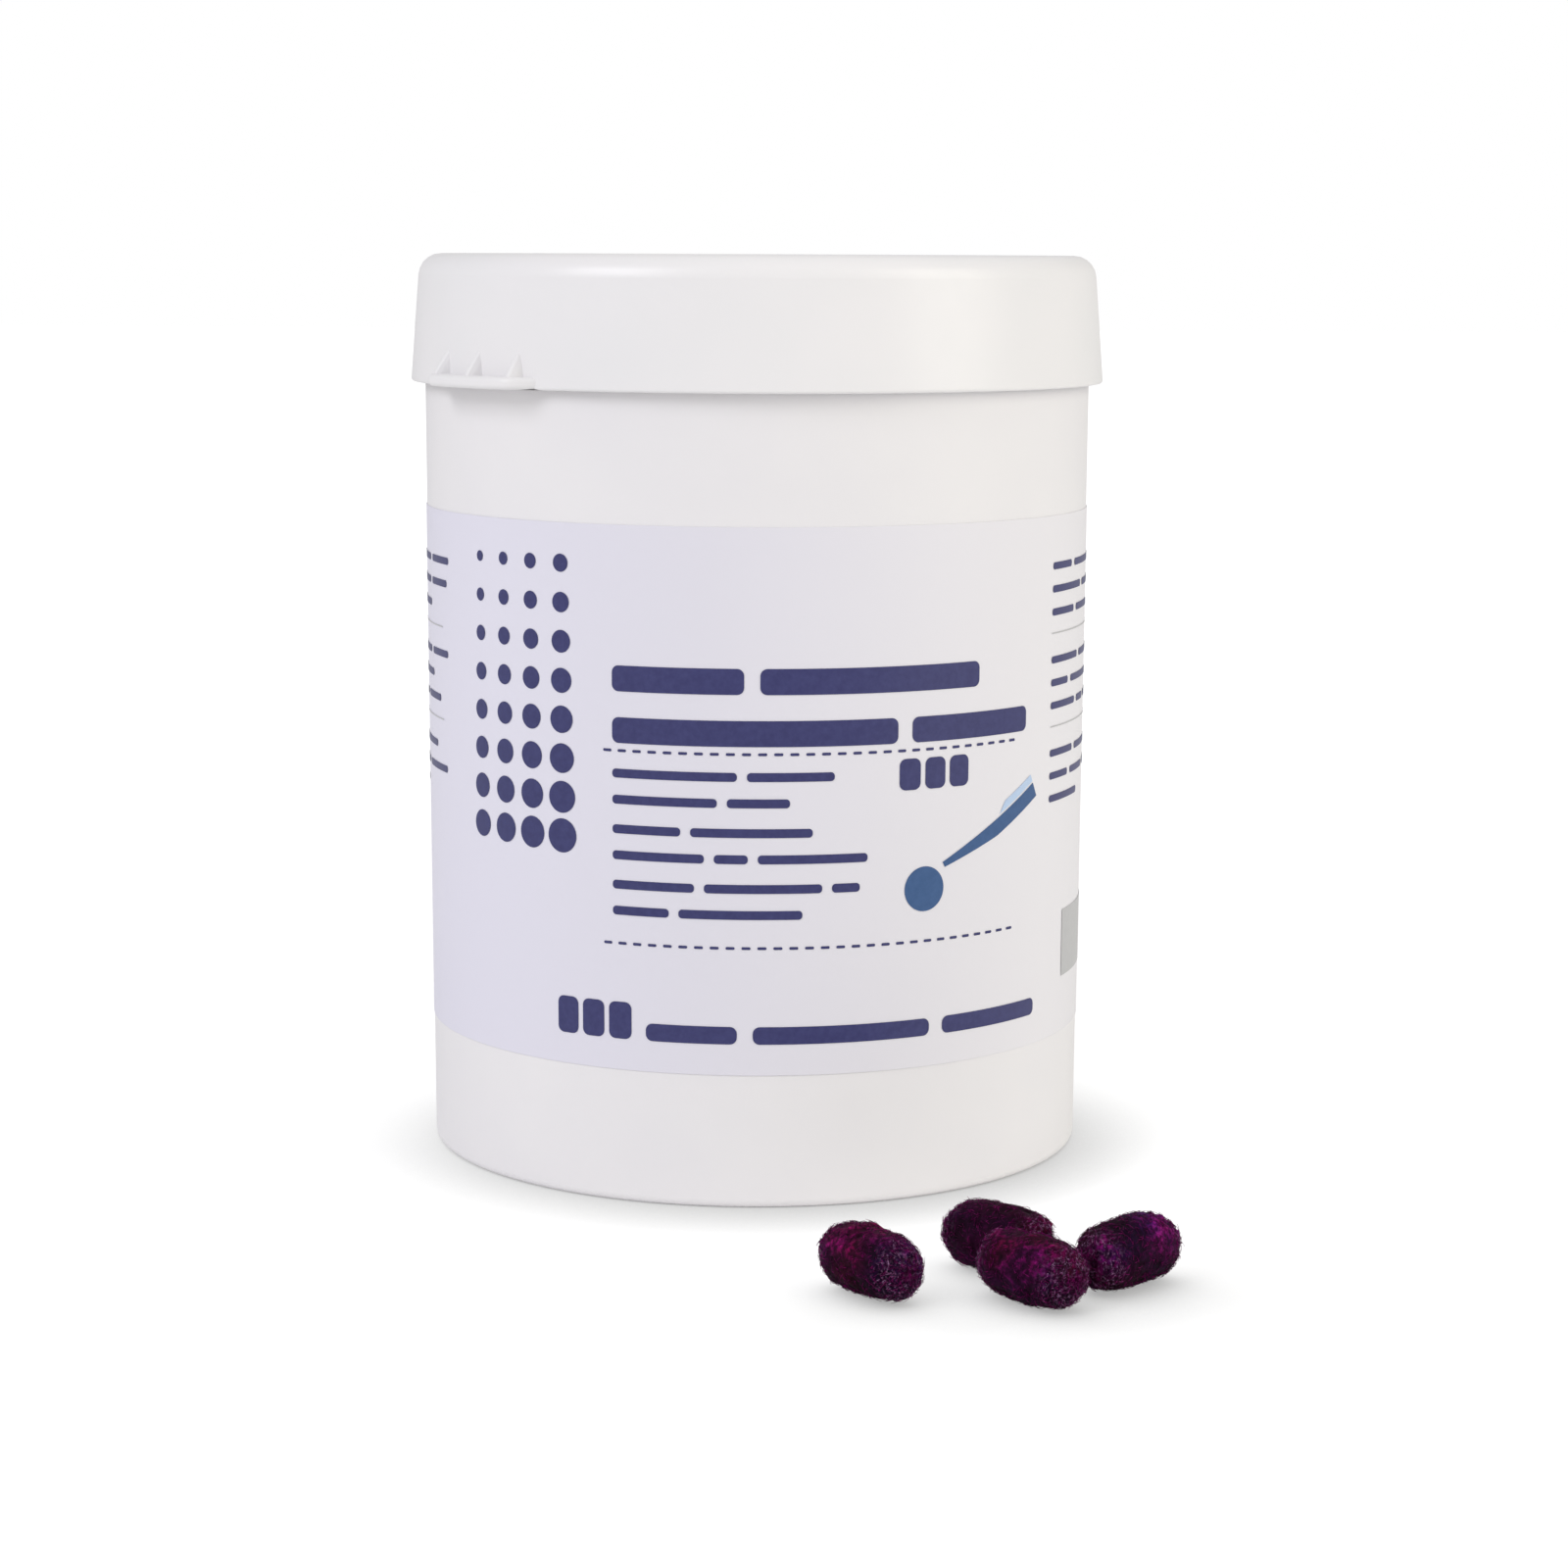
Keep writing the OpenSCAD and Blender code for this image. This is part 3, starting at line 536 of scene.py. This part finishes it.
prints = {
    "panelX": -14.8, "headingZ": 38.6, "headingH": 2.6, "headingPitch": 5.2, "headingSpace": 1.6,
    "headings": [[13.6, 24], [29.4, 15.6]],
    "lineH": 0.9, "lineZ": 29.9, "lineStep": 2.65, "pairStep": 5.65, "lineSpace": 1.0,
    "lines": [[[12.9, 8.8], [10.9, 6.3]], [[7.2, 12.3], [9.6, 3.4, 11.2]], [[8.6, 11.9, 2.9], [6, 12.5]]],
    "countX": 14.8, "countZ": 28.6, "countSize": (2.4, 3.2), "countSpace": 0.55,
    "totalX": -21.4, "totalZ": 3.2, "totalSize": (2.5, 3.8), "totalWordH": 1.8, "totalWords": [9.4, 18.8, 14],
    "dash": 0.9, "dashPitch": 1.6, "ruleL": 47.0, "ruleZ": (32.5, 12.9), "ruleT": 0.28,
    "dotColumns": 4, "dotRows": 8, "dotPitch": 3.95, "dotMax": 3.5, "dotMin": 1.1, "dotStart": (-32.6, 23.5),
    "pellet": (17.8, 18.4, 2.3), "stick": (20.1, 20.7), "stickL": 15.0, "stickW": 2.6, "stickTip": 0.6,
    "stickRise": 27.0, "gleamW": 0.8, "gleamSpace": 0.2,
    "sideX": (36.9, -61.5), "sideZ": 49.6, "sideStep": 2.4, "sideGroup": 9.8, "sideH": 0.75,
    "sides": [[[5.2, 8.4, 6], [9, 4.4, 5.6], [6.2, 7.5]], [[8, 5.4, 5.8], [4.6, 10], [7.2, 3.4, 6]],
              [[6.6, 9.4], [5, 6, 7.6], [8.8]]],
    "sideRule": (3.1, 19.6, 0.14), "grey": (41.2, 6.0, 14.0, 7.2),
}


def wordBars(x, z, height, lengths, space):
    starts = x + np.concatenate([[0], np.cumsum(lengths)[:-1]]) + space * np.arange(len(lengths))
    return [(start, z, barShape(length, height), 0.0) for start, length in zip(starts, lengths)]


def navyMarks(p):
    marks = []
    for i, lengths in enumerate(p["headings"]):
        marks += wordBars(p["panelX"], p["headingZ"] - i * p["headingPitch"], p["headingH"], lengths,
                          p["headingSpace"])
    for i, pair in enumerate(p["lines"]):
        for j, lengths in enumerate(pair):
            marks += wordBars(p["panelX"], p["lineZ"] - i * p["pairStep"] - j * p["lineStep"], p["lineH"], lengths,
                              p["lineSpace"])
    for x, z, (w, h) in ((p["countX"], p["countZ"], p["countSize"]), (p["totalX"], p["totalZ"], p["totalSize"])):
        marks += wordBars(x, z, h, [w] * 3, p["countSpace"])
    marks += wordBars(p["totalX"] + 3 * (p["totalSize"][0] + p["countSpace"]) + p["lineSpace"], p["totalZ"],
                      p["totalWordH"], p["totalWords"], p["headingSpace"])
    dashes = int((p["ruleL"] - p["dash"]) / p["dashPitch"]) + 1
    for z in p["ruleZ"]:
        marks += wordBars(p["panelX"] - p["lineSpace"], z, p["ruleT"], [p["dash"]] * dashes,
                          p["dashPitch"] - p["dash"])
    steps = p["dotColumns"] + p["dotRows"] - 2
    for i in range(p["dotColumns"]):
        for j in range(p["dotRows"]):
            d = p["dotMin"] + (p["dotMax"] - p["dotMin"]) * (i + p["dotRows"] - 1 - j) / steps
            marks.append((p["dotStart"][0] + i * p["dotPitch"], p["dotStart"][1] + j * p["dotPitch"], discShape(d),
                          0.0))
    for x in p["sideX"]:
        for i, group in enumerate(p["sides"]):
            for j, lengths in enumerate(group):
                marks += wordBars(x, p["sideZ"] - i * p["sideGroup"] - j * p["sideStep"], p["sideH"], lengths,
                                  p["lineSpace"])
    return marks


def pictureMarks(p):
    # a round pellet and a straight stick, and the gleam along the stick
    rise = math.radians(p["stickRise"])
    length, w = p["stickL"], p["stickW"]
    s = np.linspace(0, length, 50)
    top = w / 2 - p["gleamW"] - p["gleamSpace"]
    low = np.interp(s, [0, length / 2, length], [-p["stickTip"] / 2, -w / 2, -w / 2])
    high = np.interp(s, [0, length / 2, length], [p["stickTip"] / 2, top, top])
    gleam = np.linspace(length / 2 + w / 2, length, 24)
    gleamHigh = np.interp(gleam, [gleam[0], length / 2 + w], [w / 2 - p["gleamW"] + 0.02, w / 2])
    x, z, r = p["pellet"]
    dark = [(x, z, discShape(2 * r), 0.0), (*p["stick"], (s, low, high), rise)]
    return dark, [(*p["stick"], (gleam, np.full(24, w / 2 - p["gleamW"]), gleamHigh), rise)]


def greyMarks(p):
    x, z, w, h = p["grey"]
    s = np.linspace(0, w, 40)
    marks = [(x, z, (s, np.zeros(40), np.full(40, h)), 0.0)]
    rise, length, thick = p["sideRule"]
    for x in p["sideX"]:
        for group in (1, 2):
            marks += wordBars(x, p["sideZ"] - group * p["sideGroup"] + rise, thick, [length], 0)
    return marks


darkPicture, palePicture = pictureMarks(prints)
makePiece("marks_navy", *printedMarks(navyMarks(prints)), navyInk, "tub", "navy_ink", ["print_navy"])
makePiece("marks_blue", *printedMarks(darkPicture), blueInk, "tub", "blue_ink", ["print_blue"])
makePiece("marks_pale_blue", *printedMarks(palePicture), paleBlueInk, "tub", "pale_blue_ink", ["print_pale_blue"])
makePiece("marks_grey", *printedMarks(greyMarks(prints)), greyInk, "tub", "grey_ink", ["print_grey"])
print("label and its print made")

# A soaked swab in millimetres. Its ends, as shares of half its length, carry a painted pale sheen from endFrom on, and
# less so on the end faces; patches of lighter dye and of another hue have pitches of their own.
swab = {
    "length": 11.4, "r": 3.3, "along": 3.6, "around": 2.5, "lump": 0.18, "lumpPitch": 1.5, "bigLump": 2.3,
    "pore": 0.12, "porePitch": 0.62, "inset": 0.08, "endFrom": 0.5, "endRun": 0.3, "faceFrom": 0.94, "faceRun": 0.06,
    "faceLoss": 0.45, "endSheen": 0.17, "patchPitch": 4.2, "huePitch": 5.5, "hueFine": 1.6, "fibres": 2800,
}


def valueNoise(points, pitch, seed):
    # hashed numbers on a cubic lattice of that pitch, blended smoothly between the eight corners; from -1 to 1
    cell = points / pitch + seed * 11.3
    base = np.floor(cell)
    t = cell - base
    t = t * t * (3 - 2 * t)
    total = np.zeros(len(points))
    for corner in np.ndindex(2, 2, 2):
        key = np.sin((base + corner) @ np.array([12.9898, 78.233, 37.719])) * 43758.5453
        weight = np.prod(np.where(np.array(corner) == 1, t, 1 - t), axis=1)
        total += (key - np.floor(key)) * weight
    return total * 2 - 1


def fluffySwab(s, seed, rows=110, columns=150):
    # A plump roll along X: its radius at x is r (1 - |2x / length| ** along) ** (1 / around), and u runs round it.
    # Lumps, and pores that are deeper near the ends, then move each point along the smooth form's normal.
    # Returns the points with a pole at each end, the normals, the faces and a tone for each point, which holds painted
    # shade, the painted sheen of the ends and the dye's hue.
    q = np.linspace(-1, 1, 4001)
    line = s["r"] * np.maximum(1 - np.abs(q) ** s["along"], 0) ** (1 / s["around"])
    run = np.concatenate([[0], np.cumsum(np.hypot(np.diff(q) * s["length"] / 2, np.diff(line)))])
    t = np.interp(np.linspace(0.004, 0.996, rows) * run[-1], run, q)
    x, r = t * s["length"] / 2, np.interp(t, q, line)
    slopeX, slopeR = np.gradient(x), np.gradient(r)
    normalX, normalR = -slopeR / np.hypot(slopeX, slopeR), slopeX / np.hypot(slopeX, slopeR)
    a = np.arange(columns) / columns * 2 * np.pi
    points = np.stack(np.broadcast_arrays(x[:, None], r[:, None] * np.cos(a), r[:, None] * np.sin(a)), -1)
    normals = np.stack(np.broadcast_arrays(normalX[:, None], normalR[:, None] * np.cos(a),
                                           normalR[:, None] * np.sin(a)), -1)
    points, normals = points.reshape(-1, 3), normals.reshape(-1, 3)
    face = np.clip((np.abs(t) - s["faceFrom"]) / s["faceRun"], 0, 1)
    end = np.clip((np.abs(t) - s["endFrom"]) / s["endRun"], 0, 1) * (1 - s["faceLoss"] * face)
    end = np.repeat(end, columns)
    lump = valueNoise(points, s["lumpPitch"], seed)
    lump = lump + 0.7 * valueNoise(points, s["lumpPitch"] * s["bigLump"], seed + 5)
    pore = valueNoise(points, s["porePitch"], seed + 9)
    fine = valueNoise(points, s["porePitch"] * 0.5, seed + 13)
    lift = s["lump"] * lump + s["pore"] * (0.6 + 0.9 * end) * (pore + 0.5 * fine) - s["inset"]
    points = points + normals * lift[:, None]
    patch = valueNoise(points, s["patchPitch"], seed + 23)
    # The tone's first part is painted shade: darker in the pores and low places, lighter on the lumps and near the
    # ends, times real patches of lighter dye. Its second part is the painted sheen of the ends.
    depth = np.clip(0.5 + 0.28 * pore + 0.2 * fine + 0.25 * lump + 0.1 * end, 0.02, 1)
    depth *= np.clip(0.8 + 0.75 * patch, 0.2, 1.2)
    broad, narrow = valueNoise(points, s["huePitch"], seed + 17), valueNoise(points, s["hueFine"], seed + 19)
    hue = np.clip(0.5 + 0.9 * broad + 0.3 * narrow, 0, 1)
    tone = np.column_stack([np.minimum(depth, 1), s["endSheen"] * end, hue, np.ones(len(points))])
    poles = np.array([[x[0] - 0.02 - lift[:columns].mean(), 0, 0], [x[-1] + 0.02 + lift[-columns:].mean(), 0, 0]])
    k = np.arange(columns)
    nextK, lastRow = (k + 1) % columns, (rows - 1) * columns
    n = len(points)
    faces = gridQuads(rows, columns, True)[:, ::-1].tolist()
    faces += np.stack([np.full(columns, n), k, nextK], -1).tolist()
    faces += np.stack([np.full(columns, n + 1), lastRow + nextK, lastRow + k], -1).tolist()
    return np.vstack([points, poles]), normals, faces, np.vstack([tone, tone[:1], tone[-1:]])


# a loose fibre: ranges of its length in millimetres and of its lean, how deep it roots, its half thickness and how
# much of that it loses to its tip
fibre = {"length": (0.35, 0.9), "lean": (0.4, 1.2), "root": 0.05, "half": 0.035, "taper": 0.6, "hue": 0.55}


def looseFibres(points, normals, end, seed, count):
    # Fibres that stand off the surface: each starts at a point of the roll and bends over along it, as a path of five
    # points that carries a three-sided section. More of them grow near the ends, and those carry a painted pale sheen.
    rng = np.random.default_rng(seed)
    chance = 0.25 + end
    roots = rng.choice(len(normals), count, p=chance / chance.sum())
    root, normal = points[roots], normals[roots]
    side = rng.normal(size=(count, 3))
    side -= (side * normal).sum(1)[:, None] * normal
    side /= np.linalg.norm(side, axis=1)[:, None]
    length = rng.uniform(*fibre["length"], count)[:, None] * (1 + 0.5 * end[roots])[:, None]
    lean = rng.uniform(*fibre["lean"], count)[:, None]
    steps = np.linspace(0, 1, 5)
    path = np.stack([root - fibre["root"] * normal
                     + length * (normal * (t * 0.55 - 0.35 * t * t) + side * lean * t * t) for t in steps], 1)
    along = np.gradient(path, axis=1)
    along /= np.linalg.norm(along, axis=2)[..., None]
    across = np.cross(along, normal[:, None, :] + 0.3 * side[:, None, :])
    across /= np.linalg.norm(across, axis=2)[..., None]
    third = np.cross(along, across)
    thick = fibre["half"] * (1 - fibre["taper"] * steps)[None, :, None]
    rings = [path + thick * (across * math.cos(a) + third * math.sin(a)) for a in (0, 2 * np.pi / 3, 4 * np.pi / 3)]
    grid = np.stack(rings, 2)                                   # fibre, step, corner
    one = gridQuads(5, 3, True)
    faces = (one[None] + (np.arange(count) * 15)[:, None, None]).reshape(-1, 4)
    # painted sheen: the fibres nearest the ends are painted paler
    paintedSheen = np.clip((end[roots] / end.max() - 0.45) * 2, 0, 1) * rng.uniform(0.4, 1.2, count)
    tone = np.column_stack([rng.uniform(0.3, 1.0, count), paintedSheen])
    return grid.reshape(-1, 3), faces, np.repeat(tone, 15, axis=0)


def placeOf(points):
    # centre, long axis and a side axis of a solid's points: the axis of greatest spread, and the middle of the extent
    mean = points.mean(0)
    values, vectors = np.linalg.eigh(np.cov((points - mean).T))
    axis = vectors[:, 2]
    axis = axis * (1 if axis[0] >= 0 else -1)
    up = np.array([0, 0, 1.0]) - axis[2] * axis
    up /= np.linalg.norm(up)
    side = np.cross(up, axis)
    turn = np.array([axis, side, up])
    local = (points - mean) @ turn.T
    return mean + (local.max(0) + local.min(0)) / 2 @ turn, turn


def nodePoints(name):
    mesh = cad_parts[name].data
    co = np.empty(len(mesh.vertices) * 3)
    mesh.vertices.foreach_get("co", co)
    triangles = np.empty(len(mesh.loops), int)
    mesh.loops.foreach_get("vertex_index", triangles)
    return co.reshape(-1, 3) / mm, triangles.reshape(-1, 3)


def setTone(piece, tone):
    layer = piece.data.color_attributes.new("tone", "FLOAT_COLOR", "POINT")
    layer.data.foreach_set("color", np.asarray(tone, np.float32).ravel())


# Painted shade darkens the lowest part of a loose swab, where it lies on the floor: from that height, over that rise,
# down to that share.
# What would sink in the floor is pressed flat to within that give of it. Millimetres.
foot = {"shadeFrom": 0.4, "shadeRise": 3.6, "deepestShade": 0.35, "flat": 0.12, "give": 0.1, "softness": 0.5}

for index in range(1, 5):
    node = f"loose_swab_{index}"
    centre, turn = placeOf(nodePoints(node)[0])
    points, normals, faces, tone = fluffySwab(swab, index * 3.0)
    body = points[:len(normals)]
    fibrePoints, fibreFaces, fibreTone = looseFibres(body, normals, tone[:len(normals), 1], index, swab["fibres"])
    placed = np.vstack([points, fibrePoints]) @ turn + centre
    # painted shade under the swab, darker towards the floor
    low = np.clip((placed[:len(tone), 2] - foot["shadeFrom"]) / foot["shadeRise"], 0, 1)
    tone[:, 0] *= foot["deepestShade"] + (1 - foot["deepestShade"]) * low
    rest = placed[:, 2] < foot["flat"]
    placed[rest, 2] = foot["flat"] - foot["give"] * np.tanh((foot["flat"] - placed[rest, 2]) / foot["softness"])
    allFaces = faces + (fibreFaces + len(points)).tolist()
    piece = makePiece(f"soaked_swab_{index}", placed, allFaces, soakedCotton, "tub", "soaked_fibre", [node])
    fibreHue = np.full(len(fibrePoints), fibre["hue"])
    fibreColour = np.column_stack([fibreTone, fibreHue, np.ones(len(fibrePoints))])
    setTone(piece, np.vstack([tone, fibreColour]))
print("loose swabs made")


def solidsOf(node):
    # Separate solids of a node: equal corners are merged, then each corner takes the lowest label that it can reach
    # over the triangles. Returns the corner points of each solid.
    co, triangles = nodePoints(node)
    corners, merged = np.unique(np.round(co, 4), axis=0, return_inverse=True)
    triangles = merged.reshape(-1)[triangles]
    labels = np.arange(len(corners))
    while True:
        lowest = labels[triangles].min(1)
        spreadOut = labels.copy()
        np.minimum.at(spreadOut, triangles.ravel(), np.repeat(lowest, 3))
        spreadOut = spreadOut[spreadOut]
        if (spreadOut == labels).all():
            break
        labels = spreadOut
    return [corners[labels == label] for label in np.unique(labels)]


def packedSwabs(node, s, seed, rows, columns, lump):
    # the same roll at each solid's place, each with its own lumps
    points, faces, tones, start = [], [], [], 0
    for i, solid in enumerate(solidsOf(node)):
        centre, turn = placeOf(solid)
        form, _, formFaces, tone = fluffySwab({**s, "lump": lump}, seed + i * 1.7, rows, columns)
        points.append(form @ turn + centre)
        faces += [[k + start for k in face] for face in formFaces]
        tones.append(tone)
        start += len(form)
    piece = makePiece(f"{node}_cotton", np.vstack(points), faces, soakedCotton, "tub", "soaked_fibre", [node])
    setTone(piece, np.vstack(tones))


# the lower layers are hidden under the two top ones, so their swabs have few faces
lowerMesh = {"rows": 7, "columns": 10, "lump": 0.05}
topMesh = {"rows": 36, "columns": 48, "lump": 0.12}
highestMesh = {"rows": 48, "columns": 64, "lump": 0.12}
for layer in range(1, 9):
    packedSwabs(f"packed_layer_{layer}", {**swab, "pore": 0.0}, layer * 50.0, **lowerMesh)
packedSwabs("packed_top_layer", swab, 500.0, **topMesh)
packedSwabs("packed_crown", swab, 600.0, **highestMesh)
print("packed swabs made")

# The floor is a white paper sweep: it takes the object's shadow, and part of it glows to the camera only, so that it
# comes out as white as the photograph's. The glow is darkened by ambient occlusion near what stands on the floor, a
# painted contact shadow within the contact's reach in millimetres, mostly in front of it and to its right. The other
# lengths are metres.
room = {"floor": 8.0, "glow": 0.78, "glowStrength": 1.12, "fadeFrom": 0.12, "fadeTo": 0.4, "world": 0.6,
        "contact": 11.0, "contactLow": 0.33, "contactLean": (-0.25, 0.6, 0.76)}


def floorMaterial():
    material = bpy.data.materials.new("whitePaperSweep")
    material.use_nodes = True
    tree = material.node_tree
    tree.nodes.clear()
    paper = addNode(tree, "ShaderNodeBsdfDiffuse", None, {"Color": (0.9, 0.9, 0.9, 1)})
    # painted contact shadow: ambient occlusion, leaned towards the front and right, darkens the camera-only glow
    shade = addNode(tree, "ShaderNodeAmbientOcclusion", {"samples": 8}, {
        "Distance": room["contact"] * mm, "Normal": addNode(tree, "ShaderNodeCombineXYZ", None, dict(zip(
            "XYZ", room["contactLean"]))).outputs[0]})
    paintedContactShadow = addNode(tree, "ShaderNodeMapRange", None, {"Value": shade.outputs["AO"],
                                                      "To Min": room["contactLow"], "To Max": 1.0})
    glow = addNode(tree, "ShaderNodeEmission", None, {"Color": paintedContactShadow.outputs[0], "Strength": room["glowStrength"]})
    rays = addNode(tree, "ShaderNodeLightPath")
    away = addNode(tree, "ShaderNodeVectorMath", {"operation": "LENGTH"}, {
        0: addNode(tree, "ShaderNodeTexCoord").outputs["Object"]})
    share = addNode(tree, "ShaderNodeMapRange", {"interpolation_type": "SMOOTHSTEP"}, {
        "Value": away.outputs["Value"], "From Min": room["fadeFrom"], "From Max": room["fadeTo"],
        "To Min": room["glow"], "To Max": 1.0})
    seen = addNode(tree, "ShaderNodeMath", {"operation": "MULTIPLY"}, {0: rays.outputs["Is Camera Ray"],
                                                                      1: share.outputs[0]})
    mixed = addNode(tree, "ShaderNodeMixShader", None, {0: seen.outputs[0], 1: paper.outputs[0],
                                                       2: glow.outputs[0]})
    addNode(tree, "ShaderNodeOutputMaterial", None, {"Surface": mixed.outputs[0]})
    return material


half = room["floor"] / 2
floorMesh = bpy.data.meshes.new("floor")
floorMesh.from_pydata([(-half, -half, 0), (half, -half, 0), (half, half, 0), (-half, half, 0)], [], [(0, 1, 2, 3)])
floorMesh.materials.append(floorMaterial())
floor = bpy.data.objects.new("floor", floorMesh)
scene.collection.objects.link(floor)

world = bpy.data.worlds.new("softbox room")
world.use_nodes = True
scene.world = world
worldTree = world.node_tree
worldTree.nodes.clear()
rays = addNode(worldTree, "ShaderNodeLightPath")
shown = addNode(worldTree, "ShaderNodeMath", {"operation": "MAXIMUM"}, {0: rays.outputs["Is Camera Ray"],
                                                                       1: rays.outputs["Is Transmission Ray"]})
dim = addNode(worldTree, "ShaderNodeBackground", None, {"Color": (1, 1, 1, 1), "Strength": room["world"]})
white = addNode(worldTree, "ShaderNodeBackground", None, {"Color": (1, 1, 1, 1), "Strength": 1.0})
worldMix = addNode(worldTree, "ShaderNodeMixShader", None, {0: shown.outputs[0], 1: dim.outputs[0],
                                                           2: white.outputs[0]})
addNode(worldTree, "ShaderNodeOutputWorld", None, {"Surface": worldMix.outputs[0]})

# lamps: where each stands round the pack in degrees and metres, its size in metres, its watts and colour; both point
# at the middle of the tub
middleOfTub = [0, 0, 0.05]
lamps = {
    "softbox_left": {"turn": -52, "rise": 36, "away": 0.9, "size": (0.45, 0.4), "watts": 2.75, "colour": "#FCFBFF"},
    "softbox_right": {"turn": 65, "rise": 25, "away": 0.8, "size": (0.45, 0.6), "watts": 2.4, "colour": "#FFFBEC"},
}
for name, l in lamps.items():
    data = bpy.data.lights.new(name, "AREA")
    data.shape, data.size, data.size_y = "RECTANGLE", *l["size"]
    data.energy, data.color = l["watts"], linear(l["colour"])[:3]
    turn, rise = math.radians(l["turn"]), math.radians(l["rise"])
    back = np.array([math.sin(turn) * math.cos(rise), -math.cos(turn) * math.cos(rise), math.sin(rise)])
    lamp = bpy.data.objects.new(name, data)
    scene.collection.objects.link(lamp)
    right = np.array([math.cos(turn), math.sin(turn), 0])
    up = np.cross(back, right)
    rows = np.column_stack([right, up, back, back * l["away"] + middleOfTub])
    lamp.matrix_world = Matrix([list(r) for r in rows] + [[0, 0, 0, 1]])
print("floor, world and lamps set")
